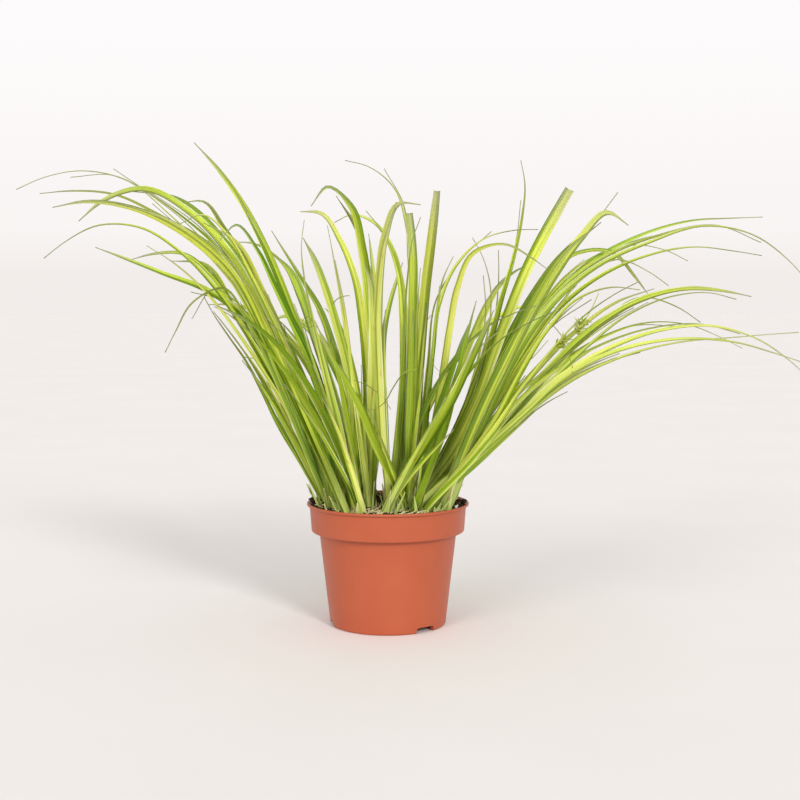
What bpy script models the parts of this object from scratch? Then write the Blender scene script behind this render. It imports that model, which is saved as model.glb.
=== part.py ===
"""A potted clump of narrow-leaved ornamental grass, for Blender 4.5.

Metres, +Z up. The origin is the middle of the pot's foot, on the table. The picture that the clump
was drawn from looks along +Y, so +X is its right.

A plastic nursery pot holds a plug of peat soil. Out of the soil stand the shoots of the clump. Each
shoot is one grown piece: a sheath at the soil and two or three keeled leaves that arch out of it.
"""
import math
import random

import bmesh
import bpy
from mathutils import Matrix, Vector
from mathutils.bvhtree import BVHTree

MM = 0.001
FIT = 0.3 * MM                       # air left between two pieces that touch

# The pot, a 12 cm nursery pot
RIM_RADIUS = 60.0 * MM
POT_HEIGHT = 91.0 * MM
COLLAR_HEIGHT = 21.0 * MM
COLLAR_RADIUS = 58.0 * MM            # below the lip; the collar narrows to its lower edge
COLLAR_FOOT_RADIUS = 56.6 * MM
BODY_RADIUS = 51.0 * MM              # under the collar
FOOT_RADIUS = 42.9 * MM
FOOT_ROUNDING = 3.0 * MM
FOOT_RING = 0.9 * MM                 # width of the flat ring that the pot stands on
LIP_HEIGHT = 1.6 * MM
WALL = 1.3 * MM
FLOOR_HEIGHT = 5.0 * MM              # underside of the raised floor
POT_SIDES = 36

NOTCH_WIDTH = 16.5 * MM
NOTCH_HEIGHT = 4.4 * MM
NOTCH_AZIMUTHS = (-50.0, 70.0, 190.0)    # degrees from +X; the first shows right of the front
HOLE_RADIUS = 3.5 * MM
HOLE_RING_RADIUS = 24.0 * MM
HOLE_COUNT = 4
HOLE_SIDES = 8

# The soil
SOIL_TOP = 87.0 * MM
SOIL_CROWN = 2.0 * MM                # how much the middle stands above the edge
SOIL_SIDES = 24
SOCKET_DEPTH = 5.0 * MM              # how deep a shoot stands in the soil

# The shoots
ROOT_RINGS = ((0.0, 1), (13.5 * MM, 6), (25.5 * MM, 12), (37.5 * MM, 16), (49.0 * MM, 22))
SHEATH_SIDES = 4
SHEATH_RADIUS = 4.0 * MM
SHEATH_TOP_RADIUS = 3.3 * MM
SHEATH_RISE = 10.0 * MM              # above the soil
ROOT_PITCH = 9.0 * MM                # least distance between two roots
LEAVES_IN_SHOOT = 3
LEAF_PITCH = 2.0 * MM                # from leaf to leaf, where they leave the sheath in a stack
LEAF_WIDTH = 6.6                     # mm from edge to edge, of a full-grown leaf
LEAF_CLEARANCE = 0.4 * MM            # least air between the leaves of two shoots
KEEL = 0.24                          # keel depth as a part of the leaf's width
KEEL_LEAST = 0.35 * MM
EXTRA_STATIONS = 4                   # sections of a leaf, on top of one for each point of its route
CUT_BULGE = 0.3 * MM                 # how far the middle of a square cut stands proud
GROWN_STATIONS = 7                   # sections of a leaf that the picture doesn't show
HEART_DEPTH = 12.0 * MM              # a shoot this close to the middle belongs to the heart

# How often a leaf may look for room before it is left out
SEEN_TRIES = 1500
GROWN_TRIES = 300
YOUNG_TRIES = 160

# Where the picture was taken from: a leaf keeps its outline when it is slid along the line of sight
EYE = Vector((9.0, -1100.0, 259.0)) * MM

# Open sky that the picture shows between the middle shoots, and the sides of the fan
SIGHT_GAP = (-7.5 * MM, 1.0 * MM)
SIGHT_GAP_HEIGHTS = (105.0 * MM, 250.0 * MM)
FAN_FOOT = 50.0 * MM                 # half width of the fan at the rim
FAN_SPREAD = 0.56                    # mm outwards for each mm above the rim
CROWN_LIMIT = 238.0 * MM             # height of the unseen leaves, as the picture sees them

# The clump's reach from the pot's axis in mm: the farthest tips stop there on either side
REACH_X = 300.0
REACH_Y = 210.0

SEED = 55


def broad(width, *route):
    """A leaf that keeps its width nearly to the tip. Its width is in mm, its route as in traced."""
    return {"width": width, "hold": 5.0, "point": 0.8, "route": route}


def fine(width, *route):
    """A leaf that narrows early to a long hair-like tip."""
    return {"width": width, "hold": 1.7, "point": 1.2, "route": route}


def cut_off(kept, leaf):
    """That leaf, cut off square at the end of its route. kept is the share of its length that is left."""
    return {**leaf, "kept": kept}


def reaching(leaf, x=None, y=None):
    """That leaf, with its tip at exactly that x or y in mm. The tip keeps its place in the picture."""
    if y is None:
        seen_x = leaf["route"][-1][0]
        y = -EYE.y / MM * ((x - EYE.x / MM) / (seen_x - EYE.x / MM) - 1)
    return {**leaf, "tip_depth": y}


def traced(sector, root, depth, *leaves):
    """A shoot whose leaves the picture shows. root is where it stands, (x, y) in mm.

    depth is how far behind the pot's middle its tips are, in mm. Each leaf's route is as seen from
    the front, (x, z) in mm, from the first place on its rise to the tip.
    """
    return {"sector": sector, "root": root, "depth": depth, "leaves": leaves}


TRACED_SHOOTS = (
    # The left wing, from the low outer edge to the tall inner leaves
    traced("left", (-54, 2), 20, fine(5.0, (-78, 143), (-102, 191), (-125, 225), (-135, 243)),
           fine(5.6, (-61, 122), (-87, 174), (-109, 207), (-128, 232))),
    traced("left", (-46, 30), 70, broad(6.0, (-76, 163), (-109, 227), (-138, 268), (-163, 275),
                                        (-188, 270))),
    traced("left", (-47, -20), -60, fine(6.2, (-93, 204), (-119, 247), (-134, 249), (-149, 230),
                                         (-164, 202))),
    traced("left", (-40, 8), 10, broad(6.6, (-83, 196), (-114, 237), (-160, 258), (-214, 279)),
           fine(5.4, (-88, 189), (-127, 250), (-167, 287), (-199, 296), (-225, 290), (-252, 271))),
    traced("left", (-34, -32), -90, broad(7.2, (-100, 233), (-130, 273), (-168, 300), (-210, 312),
                                          (-245, 308))),
    traced("left", (-30, 34), 90,
           reaching(fine(6.0, (-105, 241), (-148, 290), (-182, 323), (-217, 334), (-246, 331),
                         (-271, 321)),
                    x=-REACH_X),
           broad(6.2, (-108, 255), (-159, 297), (-199, 317), (-225, 320), (-254, 318))),
    traced("left", (-36, -10), -30, broad(7.4, (-101, 248), (-134, 294), (-163, 316), (-194, 321),
                                          (-226, 298))),
    traced("left", (-30, 20), 50, fine(6.6, (-105, 248), (-137, 290), (-174, 318), (-200, 336))),
    traced("left", (-26, -4), 0, broad(7.6, (-63, 211), (-91, 282), (-115, 324), (-141, 355)),
           broad(6.4, (-72, 204), (-105, 268), (-126, 301), (-137, 313), (-152, 311))),
    traced("left", (-38, -26), -70, broad(7.0, (-65, 178), (-101, 259), (-125, 298), (-139, 302),
                                          (-152, 296)),
           broad(8.0, (-50, 174), (-79, 241), (-101, 286), (-112, 295), (-123, 284))),
    traced("left", (-22, 40), 110, broad(7.4, (-46, 189), (-72, 259), (-95, 280), (-114, 283)),
           broad(7.6, (-32, 174), (-50, 233), (-69, 264), (-85, 291))),
    # The middle
    traced("middle", (-28, -36), -90, fine(6.6, (-39, 152), (-54, 218), (-63, 270), (-61, 299)),
           broad(7.6, (-26, 167), (-40, 230), (-53, 268), (-62, 286))),
    traced("middle", (-18, 10), -60, broad(7.6, (-12, 182), (-16, 259), (-26, 305), (-39, 325),
                                           (-56, 309)),
           broad(6.8, (-15, 167), (-22, 248), (-38, 290), (-55, 308), (-64, 305))),
    traced("middle", (-16, -20), -80, fine(6.8, (-24, 167), (-33, 232), (-39, 268), (-44, 295)),
           broad(11.0, (-12, 145), (-10, 190), (-12, 248), (-17, 268))),
    traced("middle", (-10, 30), 110, broad(7.2, (-7, 145), (-9, 204), (-9, 241), (-12, 273), (-14, 289))),
    traced("middle", (6, 6), 70, broad(6.4, (13, 182), (11, 243), (4, 275), (-6, 293), (-22, 303),
                                       (-39, 297))),
    traced("middle", (12, 34), 120, fine(6.0, (18, 182), (16, 270), (9, 313), (-7, 334), (-31, 342))),
    traced("middle", (2, -22), -120, broad(7.6, (-7, 167), (-7, 248), (-1, 292), (10, 312), (24, 310)),
           fine(6.4, (9, 167), (13, 241), (18, 284), (24, 301))),
    traced("middle", (14, -8), 40, cut_off(0.85, broad(8.0, (15, 152), (17, 218), (18, 270), (15, 304))),
           fine(6.6, (19, 145), (21, 211), (22, 241), (24, 264))),
    traced("middle", (22, 20), 70, cut_off(0.95, broad(7.8, (22, 167), (27, 241), (32, 284), (36, 320))),
           fine(6.0, (27, 152), (33, 204), (36, 233), (38, 251))),
    traced("middle", (-2, 44), 100,
           reaching(broad(6.4, (-2, 145), (-4, 204), (2, 241), (11, 268)), y=REACH_Y)),
    # The right wing, from the inner leaves to the low outer edge
    traced("right", (26, -14), -40, fine(6.0, (29, 167), (39, 244), (55, 271), (78, 289), (110, 292)),
           broad(7.2, (37, 167), (46, 226), (56, 265), (75, 282), (97, 276), (117, 263))),
    traced("right", (34, 28), 100, fine(5.4, (59, 167), (75, 226), (73, 262), (62, 286)),
           fine(6.0, (64, 167), (77, 218), (81, 251), (81, 277))),
    traced("right", (30, 4), 30, fine(7.2, (62, 167), (82, 237), (95, 284), (100, 321), (97, 342)),
           cut_off(0.80, broad(8.4, (58, 150), (84, 219), (99, 257), (112, 284), (133, 321)))),
    traced("right", (28, 42), 120, broad(7.6, (42, 158), (59, 207), (77, 242), (87, 257), (105, 267)),
           fine(5.4, (68, 145), (97, 211), (112, 227), (129, 213))),
    traced("right", (38, -28), -90, broad(10.2, (64, 148), (103, 226), (135, 277), (161, 304), (176, 295)),
           fine(6.0, (68, 152), (108, 237), (141, 282), (168, 319))),
    traced("right", (42, 10), 20, broad(9.0, (58, 137), (89, 211), (121, 266), (158, 302)),
           fine(6.4, (81, 167), (119, 226), (155, 270), (188, 281), (220, 269))),
    traced("right", (36, 36), 90, fine(7.0, (83, 178), (126, 249), (170, 280), (214, 297), (274, 301)),
           fine(6.2, (75, 159), (123, 232), (170, 265), (221, 279), (274, 273))),
    traced("right", (46, -8), -40,
           reaching(fine(7.2, (86, 185), (130, 248), (185, 280), (239, 295), (280, 281), (310, 252)),
                    x=REACH_X)),
    traced("right", (44, 24), 60, fine(6.8, (72, 152), (116, 230), (148, 264), (176, 269), (206, 251)),
           broad(5.6, (68, 159), (104, 233), (139, 276), (166, 274), (193, 242))),
    traced("right", (40, -34), -110, fine(6.6, (76, 145), (112, 211), (148, 247), (185, 248)),
           fine(5.8, (68, 130), (112, 193), (149, 233), (184, 254))),
    traced("right", (34, -20), -60, broad(7.0, (83, 145), (127, 198), (174, 235), (222, 249), (267, 243)),
           fine(7.0, (79, 133), (123, 183), (174, 228), (222, 246), (256, 241))),
    traced("right", (50, 4), 30, fine(6.4, (83, 141), (138, 206), (189, 243), (230, 224)),
           fine(6.8, (79, 133), (127, 177), (193, 206), (255, 214), (304, 218))),
    traced("right", (48, 24), 100, fine(6.6, (79, 137), (127, 193), (178, 221), (222, 222), (261, 205))),
    traced("right", (48, 14), -70, fine(6.8, (77, 133), (127, 183), (186, 214), (241, 221), (281, 207),
                                        (313, 181)),
           fine(6.2, (83, 141), (142, 192), (200, 210), (252, 210), (311, 193))),
    traced("right", (54, 6), 40, fine(5.6, (78, 132), (112, 165), (156, 192), (186, 202)),
           fine(4.8, (57, 130), (83, 173), (105, 196), (118, 211))),
    # The leaves that cross in front
    traced("front", (11, -32), -70,
           reaching(broad(7.0, (-9, 132), (-25, 169), (-38, 191), (-54, 226)), y=-REACH_Y)),
    traced("front", (1, -46), -90, broad(7.2, (14, 115), (28, 136), (45, 164), (65, 206), (77, 233))),
    traced("front", (22, -42), -60, broad(7.4, (27, 115), (36, 152), (48, 189), (59, 222)),
           broad(7.0, (44, 151), (54, 195), (65, 240))),
)

# The flower stalk in the right wing, written like a leaf, with two tufts of spikelets on it
STALK_ROOT = (44, -2)
STALK = {"width": 2.2, "hold": 5.0, "point": 0.8,
         "route": ((78, 148), (112, 195), (133, 214), (146, 227), (155, 246))}
STALK_DEPTH = -20.0
STALK_STATIONS = 10
TUFT_STATIONS = (6, 7)               # stations of the stalk that carry a tuft
SPIKELETS_IN_TUFT = 3
SPIKELET_LENGTH = 11.0 * MM
SPIKELET_RADIUS = 1.5 * MM


# ---------------------------------------------------------------- helpers

def new_collection(name):
    collection = bpy.data.collections.new(name)
    bpy.context.scene.collection.children.link(collection)
    return collection


def new_material(name, colour, roughness):
    material = bpy.data.materials.new(name)
    material.use_nodes = True
    shader = material.node_tree.nodes["Principled BSDF"]
    shader.inputs["Base Color"].default_value = (*colour, 1.0)
    shader.inputs["Roughness"].default_value = roughness
    return material


def object_from(bm, name, collection, material=None):
    """A new object with the mesh of bm, which is freed."""
    bmesh.ops.recalc_face_normals(bm, faces=bm.faces)
    mesh = bpy.data.meshes.new(name)
    bm.to_mesh(mesh)
    bm.free()
    piece = bpy.data.objects.new(name, mesh)
    if material:
        mesh.materials.append(material)
    collection.objects.link(piece)
    return piece


def as_cutter(piece):
    piece.display_type = "WIRE"
    piece.hide_render = True


def combine(piece, other, operation):
    modifier = piece.modifiers.new(operation.title(), "BOOLEAN")
    modifier.operation = operation
    modifier.object = other
    modifier.solver = "EXACT"


# ---------------------------------------------------------------- pot and soil

def inner_radius(z):
    """Radius of the pot's inner wall at height z, up to the step under the collar."""
    share = (z - FLOOR_HEIGHT) / (POT_HEIGHT - COLLAR_HEIGHT - FLOOR_HEIGHT)
    return (FOOT_RADIUS + (BODY_RADIUS - FOOT_RADIUS) * share) - WALL


def pot_profile():
    """The wall's section as (radius, height): outside from the rim down, then inside back up."""
    collar_foot = POT_HEIGHT - COLLAR_HEIGHT
    lip_foot = POT_HEIGHT - LIP_HEIGHT
    foot_arc = [(FOOT_RADIUS - FOOT_ROUNDING * (1 - math.cos(a)), FOOT_ROUNDING * (1 - math.sin(a)))
                for a in (0.0, math.radians(45), math.radians(90))]
    floor_top = FLOOR_HEIGHT + WALL
    outside = [
        (RIM_RADIUS - 0.4 * MM, POT_HEIGHT), (RIM_RADIUS, POT_HEIGHT - 0.6 * MM),
        (RIM_RADIUS, lip_foot), (COLLAR_RADIUS, lip_foot - 0.8 * MM),
        (COLLAR_FOOT_RADIUS, collar_foot + 1.4 * MM), (COLLAR_FOOT_RADIUS - 1.0 * MM, collar_foot),
        (BODY_RADIUS, collar_foot),
    ] + foot_arc
    inside = [
        (foot_arc[-1][0] - FOOT_RING, 0.0), (inner_radius(FLOOR_HEIGHT) - 1.0 * MM, FLOOR_HEIGHT),
        (0.0, FLOOR_HEIGHT), (0.0, floor_top), (inner_radius(floor_top), floor_top),
        (BODY_RADIUS - WALL, collar_foot + WALL), (COLLAR_FOOT_RADIUS - WALL, collar_foot + WALL),
        (COLLAR_RADIUS - WALL, lip_foot), (RIM_RADIUS - 1.4 * MM, POT_HEIGHT),
    ]
    return outside + inside


def make_pot(collection, cutters, material):
    bm = bmesh.new()
    points = [bm.verts.new((radius, 0.0, z)) for radius, z in pot_profile()]
    for start, end in zip(points, points[1:] + points[:1]):
        if (start.co - end.co).length > 0 and not (start.co.x == 0 and end.co.x == 0):
            bm.edges.new((start, end))
    mesh = bpy.data.meshes.new("pot")
    bm.to_mesh(mesh)
    bm.free()
    pot = bpy.data.objects.new("pot", mesh)
    collection.objects.link(pot)
    screw = pot.modifiers.new("Turn", "SCREW")
    screw.steps = screw.render_steps = POT_SIDES
    screw.use_merge_vertices = True
    screw.merge_threshold = 0.00001
    screw.use_normal_calculate = True

    for number, azimuth in enumerate(NOTCH_AZIMUTHS, 1):
        notch = make_notch(f"notch_cutter_{number}", cutters)
        notch.rotation_euler.z = math.radians(azimuth)
        combine(pot, notch, "DIFFERENCE")
    for number in range(HOLE_COUNT):
        turn = 2 * math.pi * number / HOLE_COUNT
        bm = bmesh.new()
        bmesh.ops.create_cone(bm, cap_ends=True, segments=HOLE_SIDES, radius1=HOLE_RADIUS,
                              radius2=HOLE_RADIUS, depth=6 * WALL)
        hole = object_from(bm, f"hole_cutter_{number + 1}", cutters)
        hole.location = Vector((math.cos(turn), math.sin(turn), 0.0)) * HOLE_RING_RADIUS
        hole.location.z = FLOOR_HEIGHT
        as_cutter(hole)
        combine(pot, hole, "DIFFERENCE")
    mesh.materials.append(material)
    return pot


def make_notch(name, collection):
    """A low arch along +X, wide enough to cut through the wall's lower edge."""
    bm = bmesh.new()
    half = NOTCH_WIDTH / 2
    arch = [(-half, -2 * MM), (half, -2 * MM), (half, NOTCH_HEIGHT - 1.6 * MM),
            (half - 1.6 * MM, NOTCH_HEIGHT), (-half + 1.6 * MM, NOTCH_HEIGHT),
            (-half, NOTCH_HEIGHT - 1.6 * MM)]
    face = bm.faces.new([bm.verts.new((FOOT_RADIUS - 9 * MM, y, z)) for y, z in arch])
    grown = bmesh.ops.extrude_face_region(bm, geom=[face])
    moved = [item for item in grown["geom"] if isinstance(item, bmesh.types.BMVert)]
    bmesh.ops.translate(bm, verts=moved, vec=(16 * MM, 0.0, 0.0))
    notch = object_from(bm, name, collection)
    as_cutter(notch)
    return notch


def soil_height(x, y):
    """Height of the soil: a low crown with gentle lumps."""
    share = 1 - (x * x + y * y) / COLLAR_FOOT_RADIUS ** 2
    lumps = math.sin(x * 260 + 1.0) * math.cos(y * 310 - 0.5)
    return SOIL_TOP + SOIL_CROWN * share + 0.7 * MM * lumps


def make_soil(collection, material):
    """The plug of soil: it fills the pot from floor to collar, with an uneven top."""
    bm = bmesh.new()
    collar_foot = POT_HEIGHT - COLLAR_HEIGHT
    bottom = FLOOR_HEIGHT + WALL + FIT
    chord = math.cos(math.pi / POT_SIDES)        # the pot's flats lie inside its true circle
    levels = [
        (inner_radius(bottom) * chord - FIT, bottom),
        ((BODY_RADIUS - WALL) * chord - 1.5 * FIT, collar_foot + WALL + FIT),
        ((COLLAR_FOOT_RADIUS - WALL) * chord - 1.5 * FIT, collar_foot + WALL + FIT),
    ]
    top_radius = (COLLAR_RADIUS - WALL) * chord - 2 * FIT
    angles = [2 * math.pi * i / SOIL_SIDES for i in range(SOIL_SIDES)]
    rings = []
    for radius, z in levels:
        rings.append([(radius * math.cos(a), radius * math.sin(a), z) for a in angles])
    for share in (1.0, 0.72, 0.38):
        ring = [(top_radius * share * math.cos(a), top_radius * share * math.sin(a)) for a in angles]
        rings.append([(x, y, soil_height(x, y)) for x, y in ring])
    rows = [[bm.verts.new(point) for point in ring] for ring in rings]
    for low, high in zip(rows, rows[1:]):
        for i in range(SOIL_SIDES):
            j = (i + 1) % SOIL_SIDES
            bm.faces.new((low[i], low[j], high[j], high[i]))
    bm.faces.new(reversed(rows[0]))
    peak = bm.verts.new((0.0, 0.0, soil_height(0.0, 0.0)))
    for i in range(SOIL_SIDES):
        bm.faces.new((rows[-1][i], rows[-1][(i + 1) % SOIL_SIDES], peak))
    return object_from(bm, "soil", collection, material)


# ---------------------------------------------------------------- leaves

def seen_at(x, z, y):
    """The point at depth y that the picture sees at (x, z) on the pot's middle plane."""
    flat = Vector((x, 0.0, z))
    return EYE + (flat - EYE) * ((y - EYE.y) / -EYE.y)


def smooth_route(points, count):
    """count points on a Catmull-Rom curve through points, closer together towards its end."""
    ends = [points[0] * 2 - points[1]] + list(points) + [points[-1] * 2 - points[-2]]
    steps = []
    for a, b, c, d in zip(ends, ends[1:], ends[2:], ends[3:]):
        for part in range(12):
            t = part / 12
            steps.append(0.5 * (2 * b + (c - a) * t + (2 * a - 5 * b + 4 * c - d) * t * t
                               + (3 * b - a - 3 * c + d) * t ** 3))
    steps.append(points[-1])
    lengths = [0.0]
    for start, end in zip(steps, steps[1:]):
        lengths.append(lengths[-1] + (end - start).length)
    spaced = []
    place = 0
    for i in range(count):
        want = lengths[-1] * (1 - (1 - i / (count - 1)) ** 1.3)
        while place < len(steps) - 2 and lengths[place + 1] < want:
            place += 1
        share = (want - lengths[place]) / (lengths[place + 1] - lengths[place])
        spaced.append(steps[place].lerp(steps[place + 1], min(1.0, share)))
    return spaced


def width_at(leaf, share):
    """The leaf's width along its length, from a slim base to a point."""
    taper = (1 - (share * leaf.get("kept", 1.0)) ** leaf["hold"]) ** leaf["point"]
    return leaf["width"] * MM * min(1.0, 0.72 + 0.9 * share) * taper


def leaf_rings(route, leaf, fan, settle):
    """Three corners for each station but the last: left edge, right edge and keel.

    At the sheath the leaf's face looks along fan. Further out it settles towards looking up.
    """
    rings = []
    last = len(route) - 1
    for i, centre in enumerate(route[:-1]):
        tangent = (route[i + 1] - route[max(i - 1, 0)]).normalized()
        share = i / last
        face = fan * (1.0 - 0.6 * share) + Vector((0.0, 0.0, settle * share))
        face = (face - tangent * tangent.dot(face)).normalized()
        across = tangent.cross(face)
        half = width_at(leaf, share) / 2
        keel = max(2 * half * KEEL, KEEL_LEAST)
        rings.append((centre + across * half + face * keel / 2,
                      centre - across * half + face * keel / 2,
                      centre - face * keel / 2))
    return rings


def leaf_tree(rings, tip, margin=0.0):
    """A search tree of the leaf's faces, grown by margin."""
    corners = []
    for ring in rings:
        middle = (ring[0] + ring[1] + ring[2]) / 3
        corners += [point + (point - middle).normalized() * margin for point in ring]
    corners.append(tip + (tip - corners[-1]).normalized() * margin)
    faces = []
    for row in range(len(rings) - 1):
        for i in range(3):
            j = (i + 1) % 3
            faces.append((3 * row + i, 3 * row + j, 3 * row + 3 + j, 3 * row + 3 + i))
    base = 3 * (len(rings) - 1)
    faces += [(base + i, base + (i + 1) % 3, len(corners) - 1) for i in range(3)]
    return BVHTree.FromPolygons(corners, faces)


def bounds_of(points, margin):
    low = [min(point[k] for point in points) - margin for k in range(3)]
    high = [max(point[k] for point in points) + margin for k in range(3)]
    return low, high


class Clump:
    """What already stands in the pot, so that a new leaf can be kept off it."""

    def __init__(self):
        self.placed = []

    def add(self, tree, points, sheath_of=None):
        self.placed.append((tree, bounds_of(points, 0.0), sheath_of))

    def is_free(self, tree, points, shoot):
        """True if a leaf of that shoot touches nothing but its own sheath."""
        low, high = bounds_of(points, 2 * FIT)
        for other, (other_low, other_high), sheath_of in self.placed:
            apart = any(low[k] > other_high[k] or high[k] < other_low[k] for k in range(3))
            if not apart and sheath_of is not shoot and other.overlap(tree):
                return False
        return True


def within_reach(route, leaf):
    """False if the leaf would grow past the clump's reach. A reaching leaf ends on it."""
    if "tip_depth" in leaf:
        return True
    margin = 2 * MM
    return all(abs(point.x) < REACH_X * MM - margin and abs(point.y) < REACH_Y * MM - margin
               for point in route)


def respects_picture(route):
    """False if an unseen leaf would show where the picture shows open background."""
    for point in route:
        share = -EYE.y / (point.y - EYE.y)
        seen = EYE + (point - EYE) * share
        in_gap = SIGHT_GAP[0] < seen.x < SIGHT_GAP[1]
        if in_gap and SIGHT_GAP_HEIGHTS[0] < seen.z < SIGHT_GAP_HEIGHTS[1]:
            return False
        if seen.z > CROWN_LIMIT:
            return False
        if seen.z > POT_HEIGHT and abs(seen.x) > FAN_FOOT + FAN_SPREAD * (seen.z - POT_HEIGHT):
            return False
    return True


# ---------------------------------------------------------------- shoots

class Shoot:
    """One shoot. Its leaves stand in a stack along fan, the way they are packed in the sheath.

    Until all have grown, name is only the sector that the shoot belongs to.
    """

    def __init__(self, name, root, fan):
        self.name = name
        self.root = root
        self.fan = fan
        self.leaves = []                 # (rings, tip)
        self.slots = [0, 1, -1]          # places in the stack that are free

    def foot(self, slot):
        """Where the leaf in that place leaves the sheath."""
        return self.root + self.fan * (slot * LEAF_PITCH) + Vector((0.0, 0.0, SHEATH_RISE - 2 * MM))

    def depth_shift(self, slot):
        """1 or -1 for a leaf that should bend to the back or the front of its neighbours."""
        return slot if self.fan.y > 0 else -slot


def free_roots(rng):
    """The places in the soil where shoots can stand, with a little disorder."""
    places = []
    for radius, count in ROOT_RINGS:
        for i in range(count):
            turn = 2 * math.pi * (i + 0.5 * (count % 2)) / count
            x = radius * math.cos(turn) + rng.uniform(-1.0, 1.0) * MM
            y = radius * math.sin(turn) + rng.uniform(-1.0, 1.0) * MM
            places.append(Vector((x, y, soil_height(x, y))))
    return places


def take_exactly(places, wanted):
    """That very place. The places too close to it are given up."""
    places[:] = [place for place in places if (place - wanted).xy.length > ROOT_PITCH]
    return Vector((wanted.x, wanted.y, soil_height(wanted.x, wanted.y)))


def take_nearest(places, wanted):
    best = min(places, key=lambda place: (place.x - wanted.x) ** 2 + 0.4 * (place.y - wanted.y) ** 2)
    places.remove(best)
    return best


def try_leaf(clump, shoot, rng, make_route, leaf, stations, tries, fill=False):
    """Adds a leaf to the shoot at the first try that touches nothing. True if it found room."""
    for attempt in range(tries):
        loose = attempt / tries
        slot = shoot.slots[attempt % len(shoot.slots)] if shoot.leaves else 0
        route = smooth_route(make_route(slot, loose), stations)
        if "kept" in leaf:
            route.append(route[-1] + (route[-1] - route[-2]).normalized() * CUT_BULGE)
        if (fill and not respects_picture(route)) or not within_reach(route, leaf):
            continue
        rings = leaf_rings(route, leaf, shoot.fan, rng.uniform(0.2, 1.1))
        points = [point for ring in rings for point in ring] + [route[-1]]
        tree = leaf_tree(rings, route[-1], margin=LEAF_CLEARANCE)
        if clump.is_free(tree, points, shoot):
            shoot.leaves.append((rings, route[-1]))
            shoot.slots.remove(slot)
            clump.add(leaf_tree(rings, route[-1]), points)
            return True
    return False


def seen_route(shoot, rng, leaf, depth):
    """Makes the route of a leaf that the picture shows. Only its depth is free."""
    seen = [Vector((point[0], 0.0, point[1])) * MM for point in leaf["route"]]
    pinned = "tip_depth" in leaf
    root = Vector((shoot.root.x, 0.0, shoot.root.z))
    steps = [(end - start).length for start, end in zip([root] + seen, seen)]
    shares = [sum(steps[:i + 1]) / sum(steps) for i in range(len(steps))]

    def make(slot, loose):
        shift = shoot.depth_shift(slot) * rng.uniform(6, 30 + 20 * loose)
        tip_depth = (depth + shift + rng.uniform(-1, 1) * 40 * loose) * MM
        bow = (shift / 4 + rng.uniform(-1, 1) * 20 * loose) * MM
        nudge = Vector((rng.uniform(-1, 1), 0.0, rng.uniform(-1, 1))) * 5 * loose * MM
        if pinned:
            tip_depth = leaf["tip_depth"] * MM
            nudge = Vector()
        foot = shoot.foot(slot)
        points = [foot]
        for share, point in zip(shares, seen):
            y = foot.y + (tip_depth - foot.y) * share + bow * math.sin(math.pi * share)
            points.append(seen_at(point.x + nudge.x, point.z + nudge.z, y))
        return points
    return make


def grown_route(shoot, rng, azimuth, length, rise, droop):
    """Makes the route of a leaf by rule: it rises at an angle and arches over outwards."""
    def make(slot, loose):
        turn = azimuth + rng.uniform(-1, 1) * math.radians(8 + 50 * loose)
        out = Vector((math.cos(turn), math.sin(turn), 0.0))
        angle = rise + rng.uniform(-0.08, 0.08) * (1 + loose)
        fall = droop * rng.uniform(0.8, 1.2)
        reach = length * rng.uniform(0.9, 1.05)
        points = [shoot.foot(slot)]
        steps = 5
        for i in range(steps):
            bend = angle - fall * ((i + 0.5) / steps) ** 1.6
            step = Vector((0.0, 0.0, math.sin(bend))) + out * math.cos(bend)
            points.append(points[-1] + step * reach / steps)
        return points
    return make


def companion(leaf, rng):
    """A younger leaf beside a seen one: it stops short and lies a little lower."""
    lower = rng.uniform(-2, 5)
    grown = leaf["route"]
    route = [(x * 0.97 + rng.uniform(-2, 2), z - lower * (i + 1) / len(grown))
             for i, (x, z) in enumerate(grown[:-1])]
    share = rng.uniform(-0.35, 0.25)
    (x0, z0), (x1, z1) = grown[-2:]
    route[-1] = (route[-1][0] + (x1 - x0) * share, route[-1][1] + (z1 - z0) * share - lower)
    return {"width": leaf["width"] * 0.85, "hold": leaf["hold"], "point": leaf["point"],
            "route": tuple(route)}


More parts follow.
